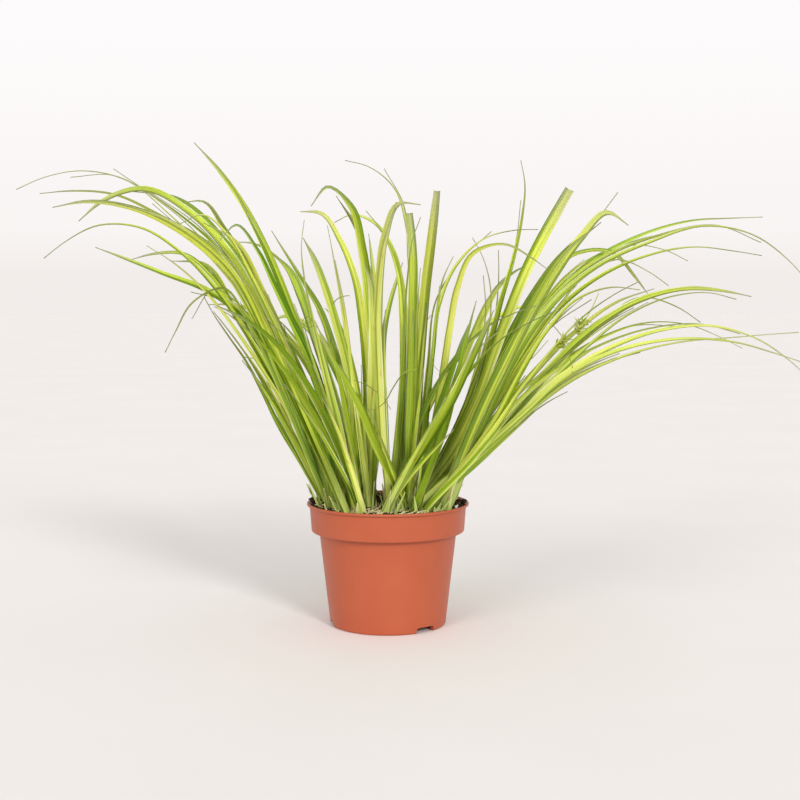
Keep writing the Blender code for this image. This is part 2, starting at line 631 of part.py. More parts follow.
def grow_clump(rng):
    """All the shoots: first those that the picture shows, then the ones behind and between."""
    clump = Clump()
    places = free_roots(rng)
    shoots = []

    def new_shoot(sector, root):
        turn = rng.choice((-90, 90)) + rng.uniform(-40, 40)
        fan = Vector((math.cos(math.radians(turn)), math.sin(math.radians(turn)), 0.0))
        shoot = Shoot(sector, root, fan)
        shoots.append(shoot)
        clump.add(*sheath_tree(root), sheath_of=shoot)
        return shoot

    stalk = new_stalk(take_nearest(places, Vector((*STALK_ROOT, 0.0)) * MM))
    clump.add(*sheath_tree(stalk.root), sheath_of=stalk)
    try_leaf(clump, stalk, rng, seen_route(stalk, rng, STALK, STALK_DEPTH), STALK, STALK_STATIONS, 1)
    clump.add(*tufts_tree(stalk))

    seen = []
    for entry in sorted(TRACED_SHOOTS, key=lambda entry: entry["sector"] != "front"):
        take = take_exactly if entry["sector"] == "front" else take_nearest
        root = take(places, Vector((*entry["root"], 0.0)) * MM)
        seen.append((entry, new_shoot(entry["sector"], root)))
    for entry, shoot in seen:
        for leaf in entry["leaves"]:
            route = seen_route(shoot, rng, leaf, entry["depth"])
            stations = len(leaf["route"]) + EXTRA_STATIONS
            try_leaf(clump, shoot, rng, route, leaf, stations, SEEN_TRIES)
    for place in places:
        if not SIGHT_GAP[0] - SHEATH_RADIUS < place.x < SIGHT_GAP[1] + SHEATH_RADIUS:
            fill_shoot(clump, new_shoot(sector_of(place), place), rng)
    for entry, shoot in seen:
        for leaf in entry["leaves"][:LEAVES_IN_SHOOT - len(entry["leaves"])]:
            young = companion(leaf, rng)
            route = seen_route(shoot, rng, young, entry["depth"])
            stations = len(young["route"]) + EXTRA_STATIONS - 2
            try_leaf(clump, shoot, rng, route, young, stations, YOUNG_TRIES)
    return stalk, name_shoots(shoots)


def sector_of(place):
    """Which part of the clump an unseen shoot belongs to."""
    if abs(place.y) < HEART_DEPTH:
        return "heart"
    return "back" if place.y > 0 else "front"


def fill_shoot(clump, shoot, rng):
    """Grows the leaves of a shoot that the picture doesn't show: the outer ones lean further out."""
    azimuth = math.atan2(shoot.root.y, shoot.root.x) + rng.uniform(-0.3, 0.3)
    radius = math.hypot(shoot.root.x, shoot.root.y)
    droops = (15, 45) if shoot.name == "front" else (40, 90)
    for number in range(LEAVES_IN_SHOOT):
        rise = math.radians(86 - 22 * radius / ROOT_RINGS[-1][0] - 4 * number)
        length = rng.uniform(180, 300) * MM
        droop = math.radians(rng.uniform(*droops))
        route = grown_route(shoot, rng, azimuth, length, rise, droop)
        make = broad if rng.random() < 0.4 else fine
        leaf = make(LEAF_WIDTH * rng.uniform(0.75, 1.05))
        try_leaf(clump, shoot, rng, route, leaf, GROWN_STATIONS, GROWN_TRIES, fill=True)


def name_shoots(shoots):
    """The shoots that have a leaf, numbered within their sector."""
    counts = {}
    grown = [shoot for shoot in shoots if shoot.leaves]
    for shoot in grown:
        sector = shoot.name
        counts[sector] = counts.get(sector, 0) + 1
        shoot.name = f"shoot_{sector}_{counts[sector]:02d}"
    return grown


def new_stalk(root):
    return Shoot("flower_stalk", root, Vector((0.0, -1.0, 0.0)))


def spikelet_meshes(stalk):
    """The spikelets: slim cones that spread round two stations of the stalk."""
    rings = stalk.leaves[0][0]
    meshes = []
    for tuft, station in enumerate(TUFT_STATIONS):
        centre = (rings[station][0] + rings[station][1] + rings[station][2]) / 3
        along = (rings[station][2] - rings[station - 1][2]).normalized()
        for number in range(SPIKELETS_IN_TUFT):
            turn = 2 * math.pi * (number + 0.5 * tuft) / SPIKELETS_IN_TUFT
            side = along.orthogonal().normalized()
            side = side * math.cos(turn) + along.cross(side) * math.sin(turn)
            aim = (along * 0.55 + side).normalized()
            bm = bmesh.new()
            bmesh.ops.create_cone(bm, cap_ends=True, segments=3, radius1=SPIKELET_RADIUS,
                                  radius2=0.0, depth=SPIKELET_LENGTH)
            place = Matrix.Translation(centre + aim * (SPIKELET_LENGTH / 2 - 0.4 * SPIKELET_RADIUS))
            bm.transform(place @ aim.to_track_quat("Z", "Y").to_matrix().to_4x4())
            meshes.append(bm)
    return meshes


def tufts_tree(stalk):
    corners, faces = [], []
    for bm in spikelet_meshes(stalk):
        base = len(corners)
        bm.verts.index_update()
        corners += [vert.co.copy() for vert in bm.verts]
        faces += [[base + vert.index for vert in face.verts] for face in bm.faces]
        bm.free()
    return BVHTree.FromPolygons(corners, faces), corners


def sheath_mesh(root, growth=0.0):
    """The sheath: a slim cone that stands in the soil."""
    bm = bmesh.new()
    depth = SOCKET_DEPTH + SHEATH_RISE
    bmesh.ops.create_cone(bm, cap_ends=True, segments=SHEATH_SIDES, radius1=SHEATH_RADIUS + growth,
                          radius2=SHEATH_TOP_RADIUS + growth, depth=depth + growth)
    middle = Vector((root.x, root.y, root.z - SOCKET_DEPTH + (depth - growth) / 2))
    bmesh.ops.translate(bm, verts=bm.verts, vec=middle)
    return bm


def sheath_tree(root):
    bm = sheath_mesh(root)
    tree = BVHTree.FromBMesh(bm)
    points = [vert.co.copy() for vert in bm.verts]
    bm.free()
    return tree, points


def make_leaf(name, rings, tip, collection):
    """A leaf as a loft of its three-cornered sections, closed at the foot, pointed at the tip."""
    bm = bmesh.new()
    rows = [[bm.verts.new(point) for point in ring] for ring in rings]
    for low, high in zip(rows, rows[1:]):
        for i in range(3):
            j = (i + 1) % 3
            bm.faces.new((low[i], low[j], high[j], high[i]))
    bm.faces.new(reversed(rows[0]))
    point = bm.verts.new(tip)
    for i in range(3):
        bm.faces.new((rows[-1][i], rows[-1][(i + 1) % 3], point))
    bmesh.ops.triangulate(bm, faces=bm.faces)
    leaf = object_from(bm, name, collection)
    as_cutter(leaf)
    return leaf


def make_shoot(shoot, collection, cutters, material):
    """The sheath with its leaves joined to it."""
    piece = object_from(sheath_mesh(shoot.root), shoot.name, collection, material)
    for number, (rings, tip) in enumerate(shoot.leaves, 1):
        leaf = make_leaf(f"{shoot.name}_leaf_{number}", rings, tip, cutters)
        combine(piece, leaf, "UNION")
    return piece


def make_stalk(stalk, collection, cutters, material):
    """The flower stalk is a shoot whose one leaf is the stem, with its spikelets joined to it."""
    piece = make_shoot(stalk, collection, cutters, material)
    for number, bm in enumerate(spikelet_meshes(stalk), 1):
        spikelet = object_from(bm, f"spikelet_{number}", cutters)
        as_cutter(spikelet)
        combine(piece, spikelet, "UNION")
    return piece


def make_sockets(soil, shoots, cutters):
    """The soil's holes, one for each shoot, cut with one cutter mesh."""
    joined = bmesh.new()
    for shoot in shoots:
        bm = sheath_mesh(shoot.root, growth=FIT)
        mesh = bpy.data.meshes.new("socket")
        bm.to_mesh(mesh)
        bm.free()
        joined.from_mesh(mesh)
        bpy.data.meshes.remove(mesh)
    sockets = object_from(joined, "socket_cutter", cutters)
    as_cutter(sockets)
    combine(soil, sockets, "DIFFERENCE")


# ---------------------------------------------------------------- the whole

def main():
    for piece in list(bpy.data.objects):
        bpy.data.objects.remove(piece, do_unlink=True)
    parts = new_collection("potted_grass_clump")
    cutters = new_collection("cutters")

    plastic = new_material("terracotta_plastic", (0.62, 0.15, 0.07), 0.45)
    peat = new_material("peat_soil", (0.03, 0.015, 0.01), 0.95)
    leaf_green = new_material("grass_leaf", (0.30, 0.45, 0.04), 0.5)

    make_pot(parts, cutters, plastic)
    soil = make_soil(parts, peat)
    stalk, shoots = grow_clump(random.Random(SEED))
    make_sockets(soil, shoots + [stalk], cutters)
    make_stalk(stalk, parts, cutters, leaf_green)
    for shoot in shoots:
        make_shoot(shoot, parts, cutters, leaf_green)
    print(len(shoots), "shoots with", sum(len(shoot.leaves) for shoot in shoots), "leaves")


main()
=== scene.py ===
# %% [markdown]
# # A clump of variegated grass in a nursery pot
#
# The real thing is a young ornamental sedge as a garden centre sells it: arching leaves, folded
# like a shallow gutter, in a moulded plastic pot of 12 cm. The solids of the plant are coarse, with
# three-cornered leaves. Here each of them gets its finished skin: a thin folded leaf that runs along
# the same edges, a smooth pot, and soil made of crumbs.

# %% Load the solids
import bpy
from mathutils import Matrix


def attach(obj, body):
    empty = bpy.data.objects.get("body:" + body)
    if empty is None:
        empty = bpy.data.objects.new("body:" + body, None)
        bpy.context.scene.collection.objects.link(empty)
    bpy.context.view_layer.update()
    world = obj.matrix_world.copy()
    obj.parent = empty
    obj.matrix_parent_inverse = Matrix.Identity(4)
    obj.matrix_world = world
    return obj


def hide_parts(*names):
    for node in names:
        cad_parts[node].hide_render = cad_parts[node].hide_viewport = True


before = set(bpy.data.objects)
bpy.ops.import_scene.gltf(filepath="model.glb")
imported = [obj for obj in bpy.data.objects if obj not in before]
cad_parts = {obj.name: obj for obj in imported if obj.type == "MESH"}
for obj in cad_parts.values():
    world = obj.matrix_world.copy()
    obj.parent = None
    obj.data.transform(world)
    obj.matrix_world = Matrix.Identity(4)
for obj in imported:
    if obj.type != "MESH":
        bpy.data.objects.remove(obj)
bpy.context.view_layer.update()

# %% [markdown]
# Blender works in metres, but a leaf is easier to think of in millimetres. One fixed random
# generator scatters everything, so the plant comes out the same each time.

# %% Units, chance and directions
import itertools
import math
import random

import bmesh
import bpy
import numpy as np
from mathutils import Matrix, Vector, noise

MM = 0.001
FULL_TURN = 2 * math.pi
UP = np.array((0.0, 0.0, 1.0))
rng = random.Random(7)


def unit(vector):
    return vector / np.linalg.norm(vector)


def units(rows):
    """Each row of an array as a unit vector."""
    return rows / np.linalg.norm(rows, axis=1)[:, None]


def level(turn):
    """The level direction that is turned by that angle from +X."""
    return np.array((math.cos(turn), math.sin(turn), 0.0))


print("a quarter turn from +X is", level(FULL_TURN / 4).round(3))

# %% [markdown]
# ## Colours, nodes and pieces
#
# Colours are written as the hex values that a screen shows. A shader wants them linear, so one
# function turns them. A second one adds a node with its settings and links. A material is then a
# chain of such calls, each fed by the outputs of others, and ends in the Principled shader.

# %% Colour
def linear(colour):
    """An sRGB hex colour as linear red, green, blue and alpha."""
    parts = [int(colour[i:i + 2], 16) / 255 for i in (1, 3, 5)]
    return (*[c / 12.92 if c <= 0.04045 else ((c + 0.055) / 1.055) ** 2.4 for c in parts], 1.0)


print("terracotta in linear light", [round(c, 3) for c in linear("#C96A4B")])

# %% Nodes
OF_COLOURS = {"data_type": "RGBA", "out": 2}  # a Mix of colours: share in 0, colours in 6 and 7


def add(tree, kind, feeds=(), out=0, **settings):
    """Adds a node, sets it up, links it, and gives its output number out.

    feeds says what each input gets: a number, a colour, or another node's output.
    """
    made = tree.nodes.new("ShaderNode" + kind)
    for name, value in settings.items():
        setattr(made, name, value)
    for place, value in (feeds.items() if isinstance(feeds, dict) else enumerate(feeds)):
        if isinstance(value, bpy.types.NodeSocket):
            tree.links.new(value, made.inputs[place])
        else:
            made.inputs[place].default_value = value
    return made.outputs[out] if len(made.outputs) else made


def new_material(name):
    """An empty material. Gives it and its node tree."""
    material = bpy.data.materials.new(name)
    material.use_nodes = True
    material.node_tree.nodes.clear()
    return material, material.node_tree


# %% Pieces
def mesh_of(bm, name):
    """Writes what bmesh has built to a mesh."""
    mesh = bpy.data.meshes.new(name)
    bm.to_mesh(mesh)
    bm.free()
    return mesh


def placed(name, data):
    """Puts an object with that mesh, lamp or camera into the scene."""
    made = bpy.data.objects.new(name, data)
    bpy.context.scene.collection.objects.link(made)
    return made


def new_piece(name, mesh, material):
    """Puts a mesh into the scene as a piece that rides with the plant."""
    mesh.materials.append(material)
    piece = placed(name, mesh)
    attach(piece, "root")
    return piece


# %% [markdown]
# ## The leaf material
#
# A sedge leaf is a living blade with a waxy skin over parallel veins. It is variegated: stripes of
# yellow-green, where the cells hold less leaf green, run along it. One half is often lighter than the
# other: partly variegation, partly painted shade of a fold whose one half turns from the light. A
# thin dark margin along the darker half is painted shade too. Its foot is pale because it grew in the
# shade of the sheath, and its fine tip has dried to a brownish grey.
#
# All of that depends on where a point lies on its own leaf, so the mesh carries that along as
# attributes: across (-1 to 1 from edge to edge), side (the same in metres), reach (metres from the
# leaf's root), along (0 to 1), dry (1 where it is too thin to stay alive), under (1 on the lower
# face), plain (1 on a leaf with hardly any stripes) and chance (a number for each leaf).

# %% Where on the leaf
LEAF_MARKS = ("across", "side", "reach", "along", "dry", "under", "plain", "chance")

blade, leaf = new_material("sedge_leaf_blade")
across, side, reach, along, dry, under, plain, chance = (
    add(leaf, "Attribute", attribute_name=mark, out="Fac") for mark in LEAF_MARKS)
print("attributes that the leaf reads", len(leaf.nodes))

# %% [markdown]
# Each leaf carries a random number, its chance. Fractions of its multiples give as many more as are
# needed: which half is the light one, how broad the dark band is, and how old the leaf looks. The
# multipliers mean nothing in themselves, they only have to differ.
#
# The stripes are long: about 1.6 mm across and 16 cm along the leaf. A noise pattern gets that look
# when its coordinates are stretched, one unit for each stripe. The third coordinate is the leaf's
# own number, so that no two leaves carry the same stripes. Finer ones of 0.55 mm lie between them.

# %% Stripes
STRIPE_WIDTH = 1.6 * MM
STRIPE_LENGTH = 160 * MM
FINE_WIDTH = 0.55 * MM
FINE_LENGTH = 45 * MM


def streaks(width, length, spin, detail):
    """Noise that is stretched along the leaf."""
    place = add(leaf, "CombineXYZ", [
        add(leaf, "Math", [side, width], operation="DIVIDE"),
        add(leaf, "Math", [reach, length], operation="DIVIDE"),
        add(leaf, "Math", [chance, spin], operation="MULTIPLY")])
    return add(leaf, "TexNoise", {"Vector": place, "Scale": 1.0, "Detail": detail})


def dice(spin):
    """Another random number of the leaf, 0 to 1."""
    spun = add(leaf, "Math", [chance, spin], operation="MULTIPLY")
    return add(leaf, "Math", [spun], operation="FRACT")


stripes = streaks(STRIPE_WIDTH, STRIPE_LENGTH, 91.0, 2.0)
stripes = add(leaf, "MapRange", [stripes, 0.40, 0.60, -0.30, 0.30])
fine_stripes = streaks(FINE_WIDTH, FINE_LENGTH, 33.0, 1.0)
fine_stripes = add(leaf, "MapRange", [fine_stripes, 0.35, 0.65, -0.28, 0.28])
hand = add(leaf, "MapRange", [dice(7.3), 0.49, 0.51, -1.0, 1.0])  # which half is the light one
handed = add(leaf, "Math", [hand, across], operation="MULTIPLY")
border = add(leaf, "MapRange", [dice(29.3), 0.0, 1.0, -0.55, 0.15])  # where it begins
# Lighter and darker halves: partly variegation, partly painted shade, the darker half standing for
# the side of the fold turned from the light
light_half = add(leaf, "Math", [handed, border], operation="SUBTRACT")
light_half = add(leaf, "MapRange", [light_half, -0.1, 0.1, 0.0, 0.88])
striped = add(leaf, "Math", [light_half, stripes], operation="ADD")
striped = add(leaf, "Math", [striped, fine_stripes], operation="ADD", use_clamp=True)
stripe_share = add(leaf, "MapRange", [plain, 0.0, 1.0, 1.0, 0.35])
# The share of yellow: stripes of variegation, and the lighter half with its painted shade
variegation_and_painted_shade = add(leaf, "Math", [striped, stripe_share], operation="MULTIPLY")
print("nodes for the stripes", len(leaf.nodes))

# %% [markdown]
# Each leaf also has a tone of its own, from deep green to nearly yellow, as old and young leaves
# have. The colours are then laid over each other like glazes: green, yellow stripes, a cream line
# along the margin of some leaves, the dull bloom of the underside, pale foot, the dry grey of the
# finest parts, and a dark margin on the darker half, which is painted shade. Older leaves dull to
# olive.

# %% Green and yellow
tone = dice(13.7)
cool = add(leaf, "MapRange", [dice(61.3), 0.60, 1.0, 0.0, 0.60])
green = add(leaf, "Mix", {0: tone, 6: linear("#5A770C"), 7: linear("#A4BC26")}, **OF_COLOURS)
green = add(leaf, "Mix", {0: cool, 6: green, 7: linear("#568616")}, **OF_COLOURS)
yellow = add(leaf, "Mix", {0: tone, 6: linear("#C6D638"), 7: linear("#EEEE80")}, **OF_COLOURS)
yellow = add(leaf, "Mix", {0: cool, 6: yellow, 7: linear("#AECB50")}, **OF_COLOURS)
colour = add(leaf, "Mix", {0: variegation_and_painted_shade, 6: green, 7: yellow}, **OF_COLOURS)

# %% Glazes
creamy = add(leaf, "MapRange", [dice(71.1), 0.45, 0.55])  # some leaves have the line
broken = add(leaf, "MapRange", [streaks(3 * MM, 40 * MM, 19.0, 1.0), 0.42, 0.60])
at_margin = add(leaf, "MapRange", [handed, 0.68, 0.86])
cream_line = add(leaf, "Math", [at_margin, creamy], operation="MULTIPLY")
cream_line = add(leaf, "Math", [cream_line, broken], operation="MULTIPLY")
old_leaf = add(leaf, "MapRange", [dice(43.9), 0.70, 0.80])
old_end = add(leaf, "MapRange", [along, 0.40, 0.80])
aged = add(leaf, "Math", [old_end, old_leaf], operation="MULTIPLY")
shaded_leaf = add(leaf, "MapRange", [dice(83.7), 0.35, 0.65])
low_down = add(leaf, "MapRange", [reach, 60 * MM, 14 * MM])
pale_foot = add(leaf, "Math", [low_down, shaded_leaf], operation="MULTIPLY")
glazes = (  # colour, how much it covers, and where
    ("#F4F4D2", 0.80, cream_line),
    ("#A59A4E", 0.40, aged),
    ("#A9BE62", 0.18, under),
    ("#D6E38A", 0.66, pale_foot),
    ("#7C8150", 0.60, dry),
    ("#A2A28C", 0.60, add(leaf, "MapRange", [along, 0.82, 1.0])),
    # The last glaze is painted shade: a dark margin along the outer edge of the darker half
    ("#3C540C", 0.62, add(leaf, "MapRange", [handed, -0.80, -0.97])))
for paint, cover, mask in glazes:
    share = add(leaf, "Math", [mask, cover], operation="MULTIPLY")
    colour = add(leaf, "Mix", {0: share, 6: colour, 7: linear(paint)}, **OF_COLOURS)
print("glazes", len(glazes))

# %% [markdown]
# A few rusty flecks sit where a leaf was rubbed or bitten. They are streaks of about 2 by 12 mm,
# again from stretched noise, of which only the highest peaks are kept. The veins are 0.3 mm apart on
# the real leaf, and the teeth of its rough margin too. That is too fine to show, so the veins are
# drawn twice as wide, in colour and relief, and the teeth as dashes of 1.4 mm.

# %% Flecks, veins and rough margins
VEIN_PITCH = 0.6 * MM
TOOTH_PITCH = 1.4 * MM

flecks = add(leaf, "MapRange", {0: streaks(2.2 * MM, 12 * MM, 57.0, 1.0), 1: 0.73, 2: 0.80, 4: 0.6})
colour = add(leaf, "Mix", {0: flecks, 6: colour, 7: linear("#B0692C")}, **OF_COLOURS)

veins = add(leaf, "Math", [side, FULL_TURN / VEIN_PITCH], operation="MULTIPLY")
veins = add(leaf, "Math", [veins], operation="SINE")
teeth = add(leaf, "Math", [reach, FULL_TURN / TOOTH_PITCH], operation="MULTIPLY")
teeth = add(leaf, "Math", [teeth], operation="SINE")
outer = add(leaf, "Math", [across], operation="ABSOLUTE")
rough = add(leaf, "MapRange", [outer, 0.82, 0.95])
teeth = add(leaf, "Math", [teeth, rough], operation="MULTIPLY")
vein_shade = add(leaf, "MapRange", [veins, -1.0, 1.0, 0.92, 1.06])
tooth_shade = add(leaf, "MapRange", [teeth, -1.0, 1.0, 0.88, 1.12])
shade = add(leaf, "Math", [vein_shade, tooth_shade], operation="MULTIPLY")
colour = add(leaf, "Mix", {0: 1.0, 6: colour, 7: shade}, blend_type="MULTIPLY", **OF_COLOURS)

relief = add(leaf, "Bump", {"Height": veins, "Strength": 0.35, "Distance": 0.08 * MM})
skin = add(leaf, "BsdfPrincipled", {
    "Base Color": colour, "Roughness": 0.44, "IOR": 1.42, "Specular IOR Level": 0.18,
    "Subsurface Weight": 0.3, "Subsurface Radius": (0.8, 1.0, 0.3), "Subsurface Scale": 0.5 * MM,
    "Normal": relief})
add(leaf, "OutputMaterial", [skin])
print("nodes of the leaf", len(leaf.nodes))

# %% [markdown]
# ## Reading a leaf from its solid
#
# In the solid, a leaf is a loft of triangles: a left edge, a right edge and a keel, closed in one
# point at the tip. The tip is the only corner there where three edges meet. From it, the walk goes
# ring by ring towards the soil, as long as a ring has three corners. The leaves could also be typed
# in as numbers, but then they wouldn't follow when a solid changes.

# %% Walk down from the tip
TIPS_ABOVE = 150 * MM  # no corner of a sheath lies this high
SOLE_BAND = 0.5 * MM  # corners that are this near to the lowest one belong to the sole


def rings_below(tip):
    """The rings of three corners under a leaf's tip, and the corners where it enters the sheath."""
    seen = {tip}
    ring = [edge.other_vert(tip) for edge in tip.link_edges]
    rings = []
    while len(ring) == 3:
        rings.append([np.array(vert.co) for vert in ring])
        seen.update(ring)
        linked = [edge.other_vert(vert) for vert in ring for edge in vert.link_edges]
        ring = [vert for vert in dict.fromkeys(linked) if vert not in seen]
    return rings[::-1], [np.array(vert.co) for vert in ring]


def leaves_of(node):
    """The leaves of a shoot's solid, and the middle of the sheath's sole."""
    bm = bmesh.new()
    bm.from_mesh(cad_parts[node].data)
    bmesh.ops.remove_doubles(bm, verts=bm.verts, dist=0.001 * MM)
    leaves = []
    for tip in [vert for vert in bm.verts if len(vert.link_edges) == 3 and vert.co.z > TIPS_ABOVE]:
        rings, entry = rings_below(tip)
        if len(rings) > 2:
            leaves.append({"rings": rings, "foot": np.mean(entry, axis=0), "tip": np.array(tip.co)})
    lowest = min(vert.co.z for vert in bm.verts)
    sole = np.mean([vert.co for vert in bm.verts if vert.co.z < lowest + SOLE_BAND], axis=0)
    bm.free()
    return leaves, sole


shoots = {name: leaves_of(name) for name in sorted(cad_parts) if name.startswith("shoot")}
print("shoots", len(shoots), "leaves", sum(len(leaves) for leaves, _ in shoots.values()))

# %% [markdown]
# The three corners of a ring come in no order. On the lowest ring the two that lie farthest apart
# are the edges, and the third is the keel. Each further ring takes the order that turns least from
# the one before it.

# %% Left edge, right edge, keel
def in_order(rings):
    """The rings as (left, right, keel) corners, with the leaf's upper face between the edges."""
    first, second = rings[0], np.mean(rings[1], axis=0)
    _, i, j = max((np.linalg.norm(first[i] - first[j]), i, j) for i, j in ((0, 1), (0, 2), (1, 2)))
    left, right, keel = first[i], first[j], first[3 - i - j]
    forward = second - np.mean(first, axis=0)
    if np.dot(np.cross(forward, (left + right) / 2 - keel), right - left) < 0:
        left, right = right, left
    ordered = [np.array((left, right, keel))]
    for ring in rings[1:]:
        before = ordered[-1] - ordered[-1].mean(axis=0)
        middle = np.mean(ring, axis=0)
        turns = [np.array(turn) for turn in itertools.permutations(ring)]
        ordered.append(max(turns, key=lambda turn: float(np.sum((turn - middle) * before))))
    return ordered


# %% [markdown]
# ## One smooth leaf
#
# A real leaf is one soft curve. Each of the three lines becomes a cubic curve through its corners,
# which passes each corner in the direction of its neighbours. Below the solid's lowest ring the leaf
# goes on through its foot and into the soil as a sheath: broad, and folded round the younger ones.
# A leaf that was cut off square has its solid's tip right on the last ring: it ends with that ring.

# %% Curves through the corners
def travelled(points):
    """How far along a line each of its points lies."""
    steps = np.linalg.norm(np.diff(points, axis=0), axis=1)
    return np.concatenate(([0.0], np.cumsum(steps)))


def smooth(points, places, wanted):
    """A cubic curve through points that lie at places along a line, read at the wanted places."""
    gaps = np.diff(places)[:, None]
    slopes = np.diff(points, axis=0) / gaps
    inner = (slopes[:-1] * gaps[1:] + slopes[1:] * gaps[:-1]) / (gaps[:-1] + gaps[1:])
    tangents = np.vstack((slopes[:1], inner, slopes[-1:]))
    span = np.clip(np.searchsorted(places, wanted, side="right") - 1, 0, len(places) - 2)
    gap = gaps[span]
    t = (wanted - places[span])[:, None] / gap
    return ((2 * t ** 3 - 3 * t ** 2 + 1) * points[span]
            + (t ** 3 - 2 * t ** 2 + t) * gap * tangents[span]
            + (3 * t ** 2 - 2 * t ** 3) * points[span + 1]
            + (t ** 3 - t ** 2) * gap * tangents[span + 1])


def gutter(centre, forward, edge_way, width, depth):
    """One folded section: its left edge, right edge and keel."""
    edge_way = unit(edge_way - forward * np.dot(edge_way, forward))
    open_way = np.cross(edge_way, forward)
    return np.array((centre - edge_way * width / 2 + open_way * depth / 2,
                     centre + edge_way * width / 2 + open_way * depth / 2,
                     centre - open_way * depth / 2))


# %% From under the soil to the tip
ROOT_LEAN = 0.9  # how far the buried part keeps the leaf's slope: 0 upright, 1 in full
ROOT_LIFT = 1 * MM  # how far the root stays above the sheath's sole
SHEATH_LEAST = 5.8 * MM  # even a narrow leaf comes out of a sheath as broad as this
CUT_OFF = 1 * MM  # a tip this near to its last ring was cut off, and so is a broader end


def rails_of(solid, sole):
    """The leaf's sections as an array (sections, 3 corners, xyz)."""
    rings = in_order(solid["rings"])
    edge_way = rings[0][1] - rings[0][0]
    sheath = max(np.linalg.norm(edge_way), SHEATH_LEAST)
    foot = solid["foot"]
    rise = unit(rings[0].mean(axis=0) - foot)
    root = foot - rise * (foot[2] - sole[2] - ROOT_LIFT) / rise[2] * ROOT_LEAN
    root[2] = sole[2] + ROOT_LIFT
    sections = [gutter(root, rise, edge_way, sheath * 0.95, sheath * 0.45),
                gutter(foot, rise, edge_way, sheath * 1.05, sheath * 0.40)] + rings
    if np.linalg.norm(solid["tip"] - rings[-1].mean(axis=0)) >= CUT_OFF:
        sections.append(np.array([solid["tip"]] * 3))
    return np.array(sections)


leaves, sole = shoots["shoot_left_09"]
print("sections of one leaf", len(rails_of(leaves[0], sole)))

# %% [markdown]
# Many small bodies go into one mesh, so their corners, faces and attributes are gathered first.
# Joining finished objects would do the same, but takes far longer.

# %% A body that leaves are laid into
class Body:
    """Gathers what becomes one mesh."""

    def __init__(self):
        self.points, self.faces, self.count = [], [], 0
        self.marks = {mark: [] for mark in LEAF_MARKS}

    def add_rings(self, rings, **marks):
        """Joins closed rings of points, an array (rings, points, xyz), and closes both ends."""
        rows, around = rings.shape[:2]
        grid = self.count + np.arange(rows * around).reshape(rows, around)
        beside = np.roll(grid, -1, axis=1)
        quads = np.stack((grid[:-1], beside[:-1], beside[1:], grid[1:]), axis=-1)
        self.faces += quads.reshape(-1, 4).tolist()
        for row, step in ((grid[0], -1), (grid[-1], 1)):
            for i in range(around // 2 - 1):
                end = (i, i + 1, around - 2 - i, around - 1 - i)
                self.faces.append([int(row[k]) for k in end][::step])
        self.points.append(rings.reshape(-1, 3))
        self.count += rows * around
        for mark, values in self.marks.items():
            values.append(np.broadcast_to(marks[mark], (rows, around)).reshape(-1))

    def finish(self, name, material):
        mesh = bpy.data.meshes.new(name)
        mesh.from_pydata(np.vstack(self.points).tolist(), [], self.faces)
        for mark, values in self.marks.items():
            layer = mesh.attributes.new(mark, "FLOAT", "POINT")
            layer.data.foreach_set("value", np.concatenate(values).astype(np.float32))
        mesh.shade_smooth()
        return new_piece(name, mesh, material)


# %% [markdown]
# First the leaf's line is read at even steps: its middle, the way from edge to edge, the way in
# which the fold opens, its width and the depth of the fold. A hair-thin end has no edges to read a
# direction from, so it keeps that of the last broad part.

# %% The line of a leaf
HAIR_PART = 0.15  # parts that are narrower than this share of the leaf count as hair
LEAST_FOLD = 0.3  # the fold is at least this deep, as a share of the width


def line_of(rails, stations):
    """Where each station lies along the leaf, then middle, edge way, open way, width and depth."""
    places = travelled(rails.mean(axis=1))
    wanted = places[-1] * np.linspace(0, 1, stations)
    left, right, keel = (smooth(rails[:, k], places, wanted) for k in range(3))
    middle = (left + right + keel) / 3
    forward = units(np.gradient(middle, axis=0))
    edge_way = right - left
    width = np.linalg.norm(edge_way, axis=1)
    last_broad = np.flatnonzero(width > HAIR_PART * width.max())[-1]
    edge_way[last_broad:] = edge_way[last_broad]
    edge_way = units(edge_way - forward * np.sum(edge_way * forward, axis=1)[:, None])
    open_way = np.cross(edge_way, forward)
    depth = np.sum(((left + right) / 2 - keel) * open_way, axis=1)
    return wanted, middle, edge_way, open_way, width, np.maximum(depth, LEAST_FOLD * width)


# %% [markdown]
# Across the leaf, nine points run from edge to edge down over the keel. Each half sags a little, so
# the fold is soft, and the blade is thicker over the keel than at its margins. A solid body needs
# both faces, so the same points are laid twice, half a thickness up and half a thickness down. Where
# the leaf runs out into a hair, it gets thicker again, so that the hair is nearly round.

# %% One leaf
PROFILE = np.array((-1.0, -0.9, -0.55, -0.13, 0.0, 0.13, 0.55, 0.9, 1.0))
SAG = 0.07  # how far each half sags, as a part of the fold's depth
KEEL_DROP = 2 / 3  # how far the keel lies under the middle of the three corners
MIDRIB = 0.5 * MM  # thickness over the keel
MARGIN = 0.16 * MM
THINNING = 1.6  # how fast the thickness falls off beside the keel
FULL_WIDTH = 4 * MM  # a narrower leaf is thinner as well
HAIR = 0.55 * MM  # width of the finest tip that still shows in the picture


